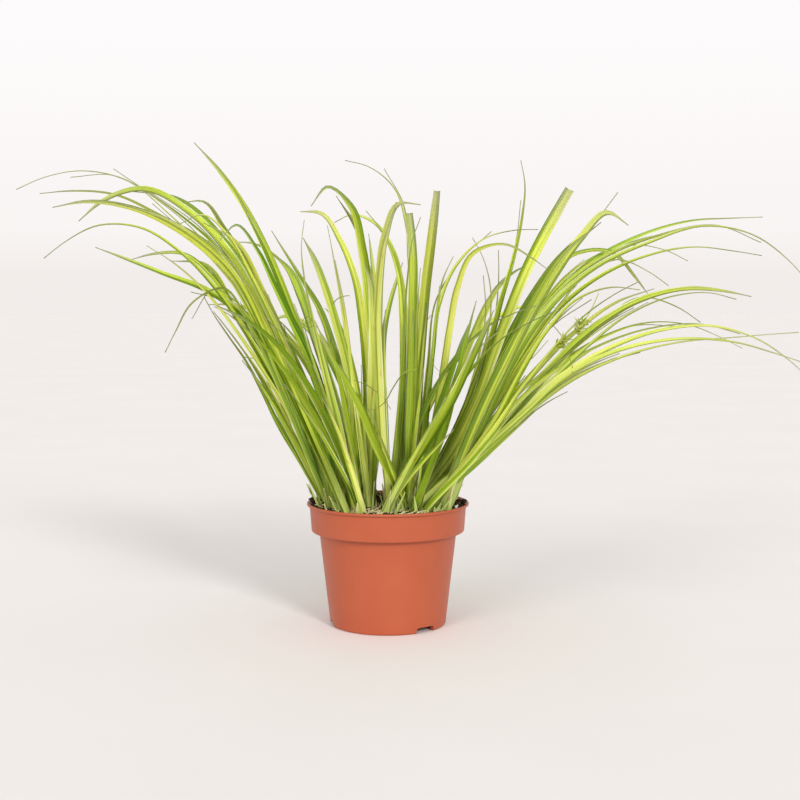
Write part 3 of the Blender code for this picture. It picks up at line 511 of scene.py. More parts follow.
def lay_leaf(body, rails, number, stations=64, thickness=1.0, plain=0.0, drying=1.0):
    """Lays one folded leaf through its sections. It dries out where it is under 3 mm broad."""
    wanted, middle, edge_way, open_way, width, depth = line_of(rails, stations)
    width = np.maximum(width, HAIR)

    s = np.abs(PROFILE)
    sheet = (s - SAG * np.sin(np.pi * s) - KEEL_DROP)[None, :] * depth[:, None]
    sheet = (middle[:, None] + edge_way[:, None] * (PROFILE[None, :] * width[:, None] / 2)[..., None]
             + open_way[:, None] * sheet[..., None])
    thick = (MARGIN + (MIDRIB - MARGIN) * (1 - s) ** THINNING)[None, :]
    thick = thick * np.clip(width / FULL_WIDTH, 0, 1)[:, None]
    round_hair = np.clip(1.6 - width / MM, 0, 0.7)[:, None] * HAIR
    half = open_way[:, None] * np.maximum(thickness * thick, round_hair)[..., None] / 2

    spread = np.concatenate((PROFILE, PROFILE[::-1]))[None, :]
    body.add_rings(np.concatenate((sheet + half, (sheet - half)[:, ::-1]), axis=1),
                   across=spread, side=spread * width[:, None] / 2, reach=wanted[:, None],
                   along=(wanted / wanted[-1])[:, None],
                   dry=drying * np.clip((3.0 - width / MM) / 2.0, 0, 1)[:, None],
                   under=np.repeat((0.0, 1.0), len(s))[None, :], plain=plain, chance=number)


# %% [markdown]
# ## The shoots
#
# No two leaves of a clump are equally broad, so each is made up to a tenth narrower than its solid,
# and it narrows to about half of it towards its tip. Leaves that narrow early, the hair-tipped kind,
# thin out sooner. The taper is drawn by chance, except for two leaves whose shape the picture shows
# well: one stays broad almost to its end, the other thins out more than any.

# %% Trim a leaf
HAIR_TIPPED = 0.8  # at 0.7 of its length such a leaf is under this share of its width
OWN_TAPER = {("shoot_right_03", 1): 0.0, ("shoot_left_06", 2): 0.75}  # shoot and leaf: how much


def eased(value, low, high):
    """0 below low, 1 above high, and a soft ramp between."""
    t = np.clip((value - low) / (high - low), 0, 1)
    return t * t * (3 - 2 * t)


def shares_of(rails):
    """How far along the leaf each section lies, 0 to 1."""
    places = travelled(rails.mean(axis=1))
    return places / places[-1]


def trimmed(rails, own=None):
    """The same leaf, a little narrower, and more so towards its tip."""
    slim, taper = rng.uniform(0.90, 1.0), rng.uniform(0.15, 0.6)
    taper = taper if own is None else own
    shares = shares_of(rails)
    widths = np.linalg.norm(rails[:, 1] - rails[:, 0], axis=1)
    if widths[-1] > CUT_OFF:  # a leaf that was cut off square keeps its shape
        return rails
    if np.interp(0.7, shares, widths) < HAIR_TIPPED * widths.max():
        lost = eased(shares, 0.2, 0.75) * taper
    else:
        lost = eased(shares, 0.4, 0.9) * taper * 0.8
    middle = rails.mean(axis=1, keepdims=True)
    return middle + (rails - middle) * (slim * (1 - lost))[:, None, None]


# %% [markdown]
# A shoot has more leaves than its solid shows, five to eight. The younger ones stand in the fold of
# the older, lean out a little to one side, and stop short. They are 3 to 5 mm broad.

# %% Young leaves
YOUNG_SECTIONS = 12


def young(rails):
    """The sections of a thinner and shorter leaf that goes along with another."""
    stop = rng.uniform(0.40, 0.78)
    lean = rng.choice((-1, 1)) * rng.uniform(2, 10) * MM
    lift = rng.uniform(1, 6) * MM
    droop = rng.uniform(0, 8) * MM
    full = rng.uniform(3.0, 5.2) * MM
    steps = np.linspace(0, 1, YOUNG_SECTIONS)
    wanted = stop * steps
    shares = shares_of(rails)
    left, right, keel = (smooth(rails[:, k], shares, wanted) for k in range(3))
    edge_way = units(right - left)
    open_way = units((left + right) / 2 - keel)
    u = (wanted / stop)[:, None]
    centre = ((left + right + keel) / 3 + edge_way * lean * u ** 1.5
              + open_way * (0.8 * MM + lift * u) - UP * droop * u ** 3)
    forward = units(np.gradient(centre, axis=0))
    width = full * (1 - steps ** 2.4) ** 0.9
    sections = [gutter(centre[i], forward[i], edge_way[i], width[i], 0.28 * width[i])
                for i in range(YOUNG_SECTIONS - 1)]
    return np.array(sections + [np.array([centre[-1]] * 3)])


# %% [markdown]
# A shoot grows as one piece, so all its leaves go into one object, which stands for the solid. The
# leaves that cross in front are plain green in the picture.

# %% Dress every shoot
YOUNG_SHARE = 0.8  # how many of the leaves have a young one along
leaf_points = []
for name, (leaves, sole) in shoots.items():
    body = Body()
    for k, solid in enumerate(leaves):
        rails = rails_of(solid, sole)
        narrow = trimmed(rails, OWN_TAPER.get((name, k)))
        lay_leaf(body, narrow, rng.random(), plain=float("front" in name))
        if rng.random() < YOUNG_SHARE:
            lay_leaf(body, young(rails), rng.random(), stations=48)
    leaf_points += body.points
    piece = body.finish(name.replace("shoot", "leaves"), blade)
    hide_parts(name)
leaf_points = np.vstack(leaf_points)
print("corners of all leaves", len(leaf_points))

# %% [markdown]
# ## Scales round the shoots
#
# Round its base each shoot keeps the short scales and old sheaths that it grew out of. They are
# papery, cream to straw brown with a green flush, and some have split. They are laid like leaves,
# only short, and thinner. The paper is dry where along and chance together pass 1.35 to 1.7: a
# scale's tip dries first, and a piece with a high number is dry from its foot.

# %% Papery scale material
scale_skin, paper = new_material("papery_leaf_scale")
paper_side, paper_reach, paper_along, paper_chance = (
    add(paper, "Attribute", attribute_name=mark, out="Fac")
    for mark in ("side", "reach", "along", "chance"))
paper_place = add(paper, "CombineXYZ", [
    add(paper, "Math", [paper_side, 0.9 * MM], operation="DIVIDE"),
    add(paper, "Math", [paper_reach, 25 * MM], operation="DIVIDE"),
    add(paper, "Math", [paper_chance, 63.0], operation="MULTIPLY")])
fibres = add(paper, "TexNoise", {"Vector": paper_place, "Scale": 1.0, "Detail": 2.0})
fresh = add(paper, "Mix", {0: fibres, 6: linear("#9DB63C"), 7: linear("#DCE796")}, **OF_COLOURS)
straw_brown = add(paper, "Mix", {0: fibres, 6: linear("#B39C5C"), 7: linear("#F2EAC0")}, **OF_COLOURS)
dryness = add(paper, "Math", [paper_along, paper_chance], operation="ADD")
dryness = add(paper, "MapRange", [dryness, 1.35, 1.7])
paper_colour = add(paper, "Mix", {0: dryness, 6: fresh, 7: straw_brown}, **OF_COLOURS)
paper_relief = add(paper, "Bump", {"Height": fibres, "Strength": 0.5, "Distance": 0.15 * MM})
add(paper, "OutputMaterial", [add(paper, "BsdfPrincipled", {
    "Base Color": paper_colour, "Roughness": 0.62, "IOR": 1.45, "Normal": paper_relief})])
print("nodes of the paper", len(paper.nodes))

# %% Lay the scales
SCALE_SHAPE = ((0.0, 0.9), (0.3, 1.0), (0.6, 0.8), (0.85, 0.4), (1.0, 0.1))  # how far, how broad
SCALE_RING = 2.3 * MM  # how far from the shoot's middle they stand

scales = Body()
for leaves, sole in shoots.values():
    first_rings = [np.mean(solid["rings"][0], axis=0) for solid in leaves]
    rise = unit(np.mean([unit(ring - sole) for ring in first_rings], axis=0))
    for _ in range(rng.randint(3, 5)):
        out = level(rng.uniform(0, FULL_TURN))
        way = unit(rise + out * rng.uniform(0.03, 0.18))
        length = rng.uniform(5, 24) * MM
        width = rng.uniform(3.0, 5.5) * MM
        start = sole + out * SCALE_RING
        sections = []
        for share, spread in SCALE_SHAPE:
            centre = start + (UP * (5 * MM) + way * length) * share + out * (1.5 * MM) * share ** 2
            forward = unit(way + out * 0.3 * share)
            sections.append(gutter(centre, forward, np.cross(UP, -out), width * spread,
                                   width * 0.3 * spread))
        lay_leaf(scales, np.array(sections), rng.random(), stations=12, thickness=0.7)
scales.finish("leaf_scales", scale_skin)
print("corners of the scales", scales.count)

# %% [markdown]
# Between the shoots stand the stubs of older leaves that have died and broken off. Copies of one
# stub would be quicker, but repeat. So each is laid as a leaf of its own, and leans outwards as the
# clump does. Their numbers run past 1, which makes them drier than the scales.

# %% Stubs of old leaves between the shoots
SOIL_LEVEL = 87 * MM
STUB_REACH = 45 * MM  # how far from the pot's axis they stand
STUB_SHAPE = ((0.0, 1.0), (0.4, 0.9), (0.8, 0.7), (1.0, 0.4))

stubs = Body()
for _ in range(110):
    radius = STUB_REACH * math.sqrt(rng.random())
    turn = rng.uniform(0, FULL_TURN)
    foot = np.array((0.8 * radius * math.cos(turn), radius * math.sin(turn), SOIL_LEVEL - 2 * MM))
    outwards = foot / STUB_REACH * (1, 1, 0) * 0.3
    way = unit(UP + outwards + np.array((rng.gauss(0, 0.12), rng.gauss(0, 0.12), 0)))
    length, width = rng.uniform(4.5, 11) * MM, rng.uniform(2.0, 3.8) * MM
    edge_way = level(rng.uniform(0, FULL_TURN))
    sections = [gutter(foot + way * length * share, way, edge_way, width * spread,
                       width * 0.3 * spread) for share, spread in STUB_SHAPE]
    lay_leaf(stubs, np.array(sections), rng.uniform(0.6, 1.5), stations=12)
stubs.finish("leaf_stubs", scale_skin)
print("corners of the stubs", stubs.count)

# %% [markdown]
# ## The flower stalk
#
# In the right wing one thin stalk carries two tufts of spikelets. Its route is the one of its solid.
# The stalk is a round tube that gets thinner, and each spikelet is a slim scale that stands out
# from it, like a leaf in small. They are set by the golden angle of 2.4 radians, as on the plant, so
# that no two stand in line.

# %% A tube
TUBE_SIDES = 8
ASKEW = (0.31, 0.87, 0.38)  # a direction that no tube runs in, to turn its section from


def lay_tube(body, points, thick, thin, stations, number):
    """Lays a round tapering tube through the points."""
    points = np.array(points, dtype=float)
    places = travelled(points)
    wanted = places[-1] * np.linspace(0, 1, stations)
    line = smooth(points, places, wanted)
    forward = units(np.gradient(line, axis=0))
    across_way = units(np.cross(forward, ASKEW))
    other_way = np.cross(forward, across_way)
    turns = np.arange(TUBE_SIDES) * FULL_TURN / TUBE_SIDES
    radius = np.linspace(thick, thin, stations)[:, None, None] / 2
    rings = line[:, None] + radius * (across_way[:, None] * np.cos(turns)[None, :, None]
                                      + other_way[:, None] * np.sin(turns)[None, :, None])
    body.add_rings(rings, across=0.5, side=np.cos(turns)[None, :] * radius[..., 0],
                   reach=wanted[:, None], along=(wanted / wanted[-1])[:, None] * 0.8, dry=0.5,
                   under=0.0, plain=0.0, chance=number)


# %% Stalk and spikelets
STALK_ROUTE = ((49.6, 0.5, 84), (50.4, 0.2, 98), (73.3, -5.7, 141), (99.2, -11, 181),
               (127.1, -15.3, 211), (140.4, -17.2, 223), (148.3, -18.9, 236.5), (152.3, -20, 246.2))
TUFTS = (4, 5)  # points of the route that carry a tuft
SPIKELETS = 28  # in each tuft
SPIKELET_SHAPE = ((0.0, 0.35), (0.25, 1.0), (0.55, 0.85), (0.8, 0.4), (1.0, 0.1))
BRIGHT = (0.361, 0.434, 0.507)  # chances that the leaf material turns into its lightest tone

stalk = Body()
stalk_line = np.array(STALK_ROUTE) * MM
lay_tube(stalk, stalk_line, 2.0 * MM, 0.6 * MM, stations=60, number=0.37)
for tuft in TUFTS:
    rise = unit(stalk_line[tuft + 1] - stalk_line[tuft])
    for k in range(SPIKELETS):
        turn = k * 2.4 + rng.uniform(-0.3, 0.3)
        out = unit(np.cross(rise, (0.2, 0.9, 0.1)))
        out = out * math.cos(turn) + np.cross(rise, out) * math.sin(turn)
        way = unit(rise * rng.uniform(-0.1, 1.1) + out)
        length = rng.uniform(4.0, 8.0) * MM
        start = stalk_line[tuft] + rise * rng.uniform(-8, 2) * MM
        sections = [gutter(start + way * length * share + rise * (1.5 * MM) * share ** 2, way,
                           np.cross(way, rise), 2.5 * MM * spread, 0.9 * MM * spread)
                    for share, spread in SPIKELET_SHAPE]
        lay_leaf(stalk, np.array(sections), rng.choice(BRIGHT), stations=10, drying=0.0)
piece = stalk.finish("flower_stalk_with_spikelets", blade)
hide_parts("flower_stalk")
print("corners of the stalk", stalk.count)

# %% [markdown]
# ## Threads
#
# A few hair-thin threads hang across the leaves: fibres that have split off a margin, and dry tips
# that have curled. Their routes are as seen from the front, (x, z) in mm on the pot's middle plane.
# Each has to lie on leaves, so every point is slid along the line of sight to the first leaf there.
# A thread can't jump back to a far leaf at once: it recedes slowly from the nearest one, and where
# it passes a gap it stays near what lies beside. Averaging twice then takes its kinks out. Two of the
# six still hang about 1 mm clear of the nearest leaf.

# %% Where the sight meets a leaf
EYE = np.array((9.0, -1100.0, 259.0)) * MM
SIGHT = 1.5 * MM  # a corner this near to the line of sight counts as met
THREAD_GAP = 0.4 * MM  # how far a thread lies in front of the leaf


def seen_at(x, z, y):
    """The point at depth y that the picture sees at (x, z)."""
    flat = np.array((x, 0.0, z)) * MM
    return EYE + (flat - EYE) * ((y - EYE[1]) / -EYE[1])


def depth_at(x, z):
    """The depth at which that line of sight first meets a leaf. In a gap it is out of reach."""
    way = unit(seen_at(x, z, 0.0) - EYE)
    past = leaf_points - EYE
    off = np.linalg.norm(past - (past @ way)[:, None] * way, axis=1)
    return leaf_points[off < SIGHT, 1].min(initial=1.0) - THREAD_GAP


# %% Threads
THREAD_SLOPE = 3 * MM  # how far it may recede, from one point of its route to the next
THREADS = (  # thickness at the start and at the end, and the route, in mm
    (1.1, 0.5, ((21.4, 189.2), (16.3, 188.4), (12.6, 187.0), (8.9, 183.6), (5.2, 178.1), (2.2, 173.0),
                (0.0, 168.6), (-5.9, 162.0), (-15.1, 158.3))),
    (0.5, 0.4, ((-25.1, 181.8), (-20.7, 180.0), (-14.8, 177.4), (-9.6, 173.7), (-3.7, 169.3),
                (0.0, 163.4), (2.2, 159.8))),
    (0.8, 0.5, ((-39.9, 237.7), (-38.5, 240.0), (-35.5, 242.2), (-31.5, 243.4), (-28.1, 243.7))),
    (0.4, 0.4, ((133.8, 198.0), (135.0, 194.6), (136.1, 191.4), (136.0, 187.0))),
    (0.35, 0.3, ((32.7, 201.5), (33.0, 197.0), (33.6, 193.3), (35.5, 190.4), (38.3, 188.0))),
    (0.4, 0.3, ((-62.9, 224.9), (-60.7, 227.9), (-57.7, 228.2), (-55.9, 225.7), (-59.2, 223.5),
                (-62.1, 222.7), (-58.4, 220.5), (-54.0, 222.0))))

threads = Body()
for thick, thin, route in THREADS:
    met = np.array([depth_at(x, z) for x, z in route])
    apart = np.abs(np.subtract.outer(range(len(route)), range(len(route))))
    depths = (met[None, :] + apart * THREAD_SLOPE).min(axis=1)
    for _ in range(2):
        depths[1:-1] = (depths[:-2] + 2 * depths[1:-1] + depths[2:]) / 4
    line = [seen_at(x, z, depth) for (x, z), depth in zip(route, depths)]
    lay_tube(threads, line, thick * MM, thin * MM, stations=40, number=0.147)
threads.finish("leaf_threads", blade)
print("corners of the threads", threads.count)

# %% [markdown]
# ## The pot
#
# A nursery pot is injection moulded from polypropylene, coloured through in terracotta. It is thin,
# smooth and a little waxy, with a satin sheen that turns pale at grazing angles. Its IOR of 1.49 is
# that of the plastic. The cooling plastic leaves broad, faint waves, and the mould's etched surface
# a grain of about 0.8 mm, drawn twice that wide to show at all.

# %% Polypropylene
WAVE = 28 * MM
GRAIN = 1.6 * MM

polypropylene, plastic = new_material("terracotta_polypropylene")
pot_place = add(plastic, "TexCoord", out="Object")
waves = add(plastic, "TexNoise", {"Vector": pot_place, "Scale": 1 / WAVE, "Detail": 3.0})
grain = add(plastic, "TexNoise", {"Vector": pot_place, "Scale": 1 / GRAIN, "Detail": 2.0})
terracotta = add(plastic, "Mix", {0: waves, 6: linear("#AB4E2C"), 7: linear("#B75936")}, **OF_COLOURS)
pot_satin = add(plastic, "MapRange", [waves, 0.3, 0.7, 0.36, 0.48])
pot_relief = add(plastic, "Bump", {"Height": grain, "Strength": 0.25, "Distance": 0.04 * MM})
add(plastic, "OutputMaterial", [add(plastic, "BsdfPrincipled", {
    "Base Color": terracotta, "Roughness": pot_satin, "IOR": 1.49, "Normal": pot_relief})])
print("nodes of the pot's plastic", len(plastic.nodes))

# %% [markdown]
# The pot is round, so it is turned like clay on a wheel: one section, swept round the axis. A
# cylinder with loop cuts would give the same shape, but here each radius can be read. Each corner
# of the section has its own rounding, because moulded plastic has no sharp edge anywhere.

# %% Round off a section
SUPPORT = 0.1  # mm beside each arc, where a further point keeps the faces flat


def rounded(section):
    """The section's outline with an arc for each corner, and a support point beside each arc."""
    corners = [np.array(corner[:2], dtype=float) for corner in section]
    outline = []
    for i, (_, _, rounding) in enumerate(section):
        here, before, after = corners[i], corners[i - 1], corners[(i + 1) % len(corners)]
        if rounding == 0:
            outline.append(here)
            continue
        into, out_of = unit(before - here), unit(after - here)
        half_angle = math.acos(float(np.clip(np.dot(into, out_of), -1, 1))) / 2
        setback = min(rounding / math.tan(half_angle), 0.45 * np.linalg.norm(before - here),
                      0.45 * np.linalg.norm(after - here))
        start, end = here + into * setback, here + out_of * setback
        outline.append(start + into * SUPPORT)
        for t in np.linspace(0, 1, 6):
            outline.append(start * (1 - t) ** 2 + here * 2 * t * (1 - t) + end * t ** 2)
        outline.append(end + out_of * SUPPORT)
    return outline


# %% Turn it
def turned(outline, segments):
    """Sweeps a closed outline of (radius, height) in mm round the upright axis."""
    bm = bmesh.new()
    turns = [FULL_TURN * i / segments for i in range(segments)]
    rings = []
    for radius, height in outline:
        if radius == 0:
            rings.append([bm.verts.new((0, 0, height * MM))] * segments)
        else:
            rings.append([bm.verts.new((radius * MM * math.cos(turn), radius * MM * math.sin(turn),
                                        height * MM)) for turn in turns])
    for outer_ring, inner_ring in zip(rings, rings[1:] + rings[:1]):
        for i in range(segments):
            j = (i + 1) % segments
            around = (outer_ring[i], inner_ring[i], inner_ring[j], outer_ring[j])
            corners = list(dict.fromkeys(around))
            if len(corners) > 2:
                bm.faces.new(corners)
    bmesh.ops.recalc_face_normals(bm, faces=bm.faces)
    return mesh_of(bm, "turned")


# %% The pot's section: radius, height and rounding of each corner, in mm
POT_SECTION = (
    (58.6, 91.0, 0.3), (60.0, 91.0, 0.6), (60.0, 89.3, 0.5), (58.0, 88.8, 0.3), (56.6, 70.0, 1.1),
    (51.0, 70.0, 0.2), (42.9, 0.0, 3.0), (39.0, 0.0, 0.4), (40.5, 5.0, 0.4), (0.0, 5.0, 0.0),
    (0.0, 6.3, 0.0), (41.9, 6.3, 1.0), (49.7, 71.3, 0.8), (55.3, 71.3, 0.8), (56.7, 89.4, 0.4),
    (58.0, 90.4, 0.3))
POT_SEGMENTS = 144

pot = new_piece("nursery_pot", turned(rounded(POT_SECTION), POT_SEGMENTS), polypropylene)
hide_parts("pot")
print("pot corners", len(pot.data.vertices))

# %% [markdown]
# Three arches are cut into the foot and four holes into the raised floor, to let water out. Cutting
# with a Boolean keeps the turned wall clean. Its result is written to the mesh, and the cutter goes.

# %% What the arches and drain holes take away
ARCH = ((-8.25, -2), (8.25, -2), (8.25, 2.4), (7.9, 3.5), (7.1, 4.2), (6.2, 4.4), (-6.2, 4.4),
        (-7.1, 4.2), (-7.9, 3.5), (-8.25, 2.4))
ARCH_TURNS = (-50, 70, 190)  # degrees from +X
ARCH_START = 34 * MM  # from the pot's axis, inside the foot
ARCH_DEPTH = 16 * MM  # far enough to come out of the wall
HOLE_RADIUS = 3.5 * MM
HOLE_RING_RADIUS = 24 * MM
HOLE_COUNT = 4
FLOOR_MIDDLE = 5.6 * MM

tools = bmesh.new()
for turn in ARCH_TURNS:
    face = tools.faces.new([tools.verts.new((ARCH_START, y * MM, z * MM)) for y, z in ARCH])
    grown = bmesh.ops.extrude_face_region(tools, geom=[face])["geom"]
    far = [item for item in grown if isinstance(item, bmesh.types.BMVert)]
    bmesh.ops.translate(tools, verts=far, vec=(ARCH_DEPTH, 0, 0))
    bmesh.ops.rotate(tools, verts=far + list(face.verts), cent=(0, 0, 0),
                     matrix=Matrix.Rotation(math.radians(turn), 3, "Z"))
for k in range(HOLE_COUNT):
    way = level(math.pi / 4 + k * FULL_TURN / HOLE_COUNT)
    place = Matrix.Translation(HOLE_RING_RADIUS * way + FLOOR_MIDDLE * UP)
    bmesh.ops.create_cone(tools, cap_ends=True, segments=32, radius1=HOLE_RADIUS,
                          radius2=HOLE_RADIUS, depth=4 * MM, matrix=place)
bmesh.ops.recalc_face_normals(tools, faces=tools.faces)
cutter = placed("cutter", mesh_of(tools, "cutter"))
print("corners of the cutter", len(cutter.data.vertices))

# %% Cut
cut = pot.modifiers.new("cut", "BOOLEAN")
cut.operation, cut.object, cut.solver = "DIFFERENCE", cutter, "EXACT"
whole = bpy.data.meshes.new_from_object(pot.evaluated_get(bpy.context.evaluated_depsgraph_get()))
pot.modifiers.clear()
pot.data = whole
whole.shade_smooth()
whole.set_sharp_from_angle(angle=math.radians(35))
bpy.data.objects.remove(cutter)
print("pot corners after cutting", len(whole.vertices))

# %% [markdown]
# ## The soil
#
# Peat is a heap of dark crumbs with fibres, damp but not wet, so it is nearly matt. The plug itself
# is one body with an uneven top, and crumbs of 1 to 6 mm lie in and on it. Particles would scatter
# copies faster, but each crumb here is its own lump of noise, joined into one mesh.

# %% Moist peat
moist_peat, peat = new_material("moist_peat")
peat_place = add(peat, "TexCoord", out="Object")
peat_clods = add(peat, "TexNoise", {"Vector": peat_place, "Scale": 1 / (6 * MM), "Detail": 5.0,
                                    "Roughness": 0.7})
peat_grit = add(peat, "TexNoise", {"Vector": peat_place, "Scale": 1 / (0.9 * MM), "Detail": 3.0})
lightness = add(peat, "MapRange", [peat_clods, 0.35, 0.7])
brown = add(peat, "Mix", {0: lightness, 6: linear("#1E1510"), 7: linear("#4A3323")}, **OF_COLOURS)
peat_relief = add(peat, "Bump", {"Height": peat_grit, "Strength": 0.9, "Distance": 0.6 * MM})
add(peat, "OutputMaterial", [add(peat, "BsdfPrincipled", {
    "Base Color": brown, "Roughness": 0.92, "IOR": 1.4, "Normal": peat_relief})])
print("nodes of the peat", len(peat.nodes))

# %% The plug
SOIL_RIM = 56.2 * MM  # where its top meets the pot's wall
SOIL_SECTION = ([(0, 6.4), (40.5, 6.4), (49.3, 71.2), (55.0, 71.5), (56.2, 86)]
                + [(56.2 - k * 0.8, 87) for k in range(70)] + [(0, 87)])


def soil_top(x, y):
    """The height of the soil: a low crown, clods, and a bank against the wall on two sides."""
    crown = SOIL_LEVEL + 2 * MM * (1 - (x * x + y * y) / SOIL_RIM ** 2)
    clods = noise.noise(Vector((x, y, 0.03)) / (9 * MM)) * 1.3 * MM
    clods += noise.noise(Vector((x, y, 0)) / (3 * MM)) * 0.7 * MM
    bank = 4.2 * MM * max(0.0, abs(x) / SOIL_RIM - 0.84) / 0.16
    return crown + clods + bank


plug = turned(SOIL_SECTION, 160)
for vert in plug.vertices:
    if vert.co.z > 85.9 * MM:
        vert.co.z = soil_top(vert.co.x, vert.co.y)
plug.shade_smooth()
soil = new_piece("soil_plug", plug, moist_peat)
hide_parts("soil")
print("soil corners", len(plug.vertices))

# %% Lumps
ball = bmesh.new()
bmesh.ops.create_icosphere(ball, subdivisions=2, radius=1.0)
BALL = np.array([vert.co for vert in ball.verts])
BALL_FACES = np.array([[vert.index for vert in face.verts] for face in ball.faces])
ball.free()


def lay_lumps(name, material, places, sizes, stretch, knobs):
    """Joins lumps into one piece: balls, each stretched, turned, and pushed in and out by noise."""
    points, faces = [], []
    for place, size in zip(places, sizes):
        shift = Vector([rng.uniform(0, 99) for _ in range(3)])
        lump = BALL * [[1 + knobs * noise.noise(Vector(point) * 1.4 + shift)] for point in BALL]
        lump = lump * [rng.uniform(*span) for span in stretch] * size
        turn = np.array(Matrix.Rotation(rng.uniform(0, 6.3), 3, "Z")
                        @ Matrix.Rotation(rng.gauss(0, 0.5), 3, "X")
                        @ Matrix.Rotation(rng.gauss(0, 0.5), 3, "Y"))
        faces.append(BALL_FACES + len(points) * len(BALL))
        points.append(lump @ turn.T + place)
    mesh = bpy.data.meshes.new(name)
    mesh.from_pydata(np.vstack(points).tolist(), [], np.vstack(faces).tolist())
    mesh.shade_smooth()
    new_piece(name, mesh, material)
    print(name, "corners", len(mesh.vertices))


# %% Crumbs
WALL = 56.0 * MM  # the pot's inner wall, less a little play
CRUMB_STRETCH = ((0.8, 1.3), (0.7, 1.1), (0.5, 0.9))
CRUMB_KNOBS = 0.9


def scattered(count, lift, sizes, room):
    """Places on the soil, and a size for each. A lump keeps room times its size from the wall."""
    places, chosen = [], []
    for _ in range(count):
        radius = 55.2 * MM * math.sqrt(rng.random())
        turn = rng.uniform(0, FULL_TURN)
        size = rng.uniform(*sizes) * MM * rng.uniform(0.5, 1)
        x, y, _ = min(radius, WALL - room * size) * level(turn)
        places.append(np.array((x, y, soil_top(x, y) + lift * size)))
        chosen.append(size)
    return places, chosen


lay_lumps("peat_crumbs", moist_peat, *scattered(1100, 0.25, (0.9, 3.0), 1.8),
          CRUMB_STRETCH, CRUMB_KNOBS)

# %% [markdown]
# Soil is pushed up against the wall, a little over the rim, on the left and on the right. A bell
# curve round the middle of each heap gives its height and how many crumbs lie there.

# %% Heaps at the wall
HEAP_TURNS = (183, -6)  # degrees from +X: left and right, as the picture sees them
HEAP_SPREAD = 7.5  # degrees
RIM_TOP = 91 * MM
OVER_RIM = 57.6 * MM  # how far out a crumb may lie that is clear of the rim's top

heap_places, heap_sizes = [], []
for middle in HEAP_TURNS:
    for _ in range(110):
        size = rng.uniform(0.9, 2.0) * MM
        off = rng.gauss(0, HEAP_SPREAD)
        height = 88 * MM + rng.uniform(0, 5.6) * MM * math.exp(-(off / 9) ** 2)
        room = OVER_RIM if height - size > RIM_TOP else WALL - 1.5 * size
        radius = room - abs(rng.gauss(0, 2.2)) * MM
        heap_places.append(radius * level(math.radians(middle + off)) + height * UP)
        heap_sizes.append(size)
lay_lumps("peat_heaps", moist_peat, heap_places, heap_sizes, CRUMB_STRETCH, CRUMB_KNOBS)

# %% [markdown]
# White perlite and reddish bark are mixed in for air and drainage. Perlite is glass foam, nearly
# white, dull and full of pores of about 0.8 mm. Bark is broken across its layers of about 1.2 mm.
# Both are mottled and rough in grains of that size, so one function makes both.

# %% Perlite and bark
def grainy(name, grain_size, dark, light, roughness):
    """A dull material that is mottled and rough in grains of one size."""
    material, tree = new_material(name)
    place = add(tree, "TexCoord", out="Object")
    grains = add(tree, "TexNoise", {"Vector": place, "Scale": 1 / grain_size, "Detail": 3.0})
    mottle = add(tree, "Mix", {0: grains, 6: linear(dark), 7: linear(light)}, **OF_COLOURS)
    bumps = add(tree, "Bump", {"Height": grains, "Strength": 0.8, "Distance": 0.3 * MM})
    add(tree, "OutputMaterial", [add(tree, "BsdfPrincipled", {
        "Base Color": mottle, "Roughness": roughness, "Normal": bumps})])
    return material


volcanic = grainy("perlite_foam_glass", 0.8 * MM, "#CFC9BC", "#F4F1EA", 0.85)
pine_bark = grainy("pine_bark_chips", 1.2 * MM, "#5C2E18", "#B26B3A", 0.8)
lay_lumps("perlite_grains", volcanic, *scattered(34, 0.5, (0.9, 1.9), 1.6),
          ((0.8, 1.2), (0.8, 1.2), (0.7, 1.0)), 0.8)
lay_lumps("bark_chips", pine_bark, *scattered(46, 0.6, (1.2, 2.6), 2.8),
          ((1.0, 2.2), (0.5, 0.9), (0.3, 0.6)), 0.7)

# %% [markdown]
# Pale straw lies on top: split stems and shreds of old leaves, most of them in front and along the
# wall. They are laid like the scales, flat and short. Their high numbers make the paper dry.

# %% Straw
STRAW_SHAPE = ((0, 0.5), (0.3, 1.0), (0.7, 0.9), (1, 0.3))
STRAW_REACH = 52 * MM  # from the pot's axis to where the farthest bit starts

straw = Body()
for _ in range(300):
    radius = 53.5 * MM * math.sqrt(rng.uniform(0.2, 1))
    turn = rng.gauss(-1.57, 1.4)
    heading = turn + math.pi / 2 + rng.gauss(0, 0.5)
    x, y, _ = radius * level(turn)
    way = unit(level(heading) + UP * rng.uniform(-0.1, 0.9))
    length, width = rng.uniform(3, 11) * MM, rng.uniform(0.8, 2.2) * MM
    start = np.array((x, y, soil_top(x, y) + 1.6 * MM)) - way * length / 2
    start[:2] *= min(1.0, STRAW_REACH / np.linalg.norm(start[:2]))
    sections = [gutter(start + way * length * share, way, np.cross(UP, -way), width * spread,
                       0.3 * width) for share, spread in STRAW_SHAPE]
    lay_leaf(straw, np.array(sections), rng.uniform(0.8, 1.8), stations=6)
straw.finish("straw_bits", scale_skin)
print("corners of the straw", straw.count)

# %% [markdown]
# ## Studio
#
# The picture was taken on a white sweep under soft light. A wall would hide the plant from behind,
# so there is only a pale floor, and the sky behind it takes over the wall's colours.

# %% Floor
white_board, board = new_material("matt_white_studio_board")
board_place = add(board, "TexCoord", out="Object")
board_mottle = add(board, "TexNoise", {"Vector": board_place, "Scale": 6.0, "Detail": 2.0})
board_colour = add(board, "Mix", {0: board_mottle, 6: linear("#EFEBE8"), 7: linear("#F4F1EE")},
                   **OF_COLOURS)
add(board, "OutputMaterial", [add(board, "BsdfPrincipled", {
    "Base Color": board_colour, "Roughness": 0.8})])

FLOOR_RADIUS = 9.0  # metres: its far edge is the horizon

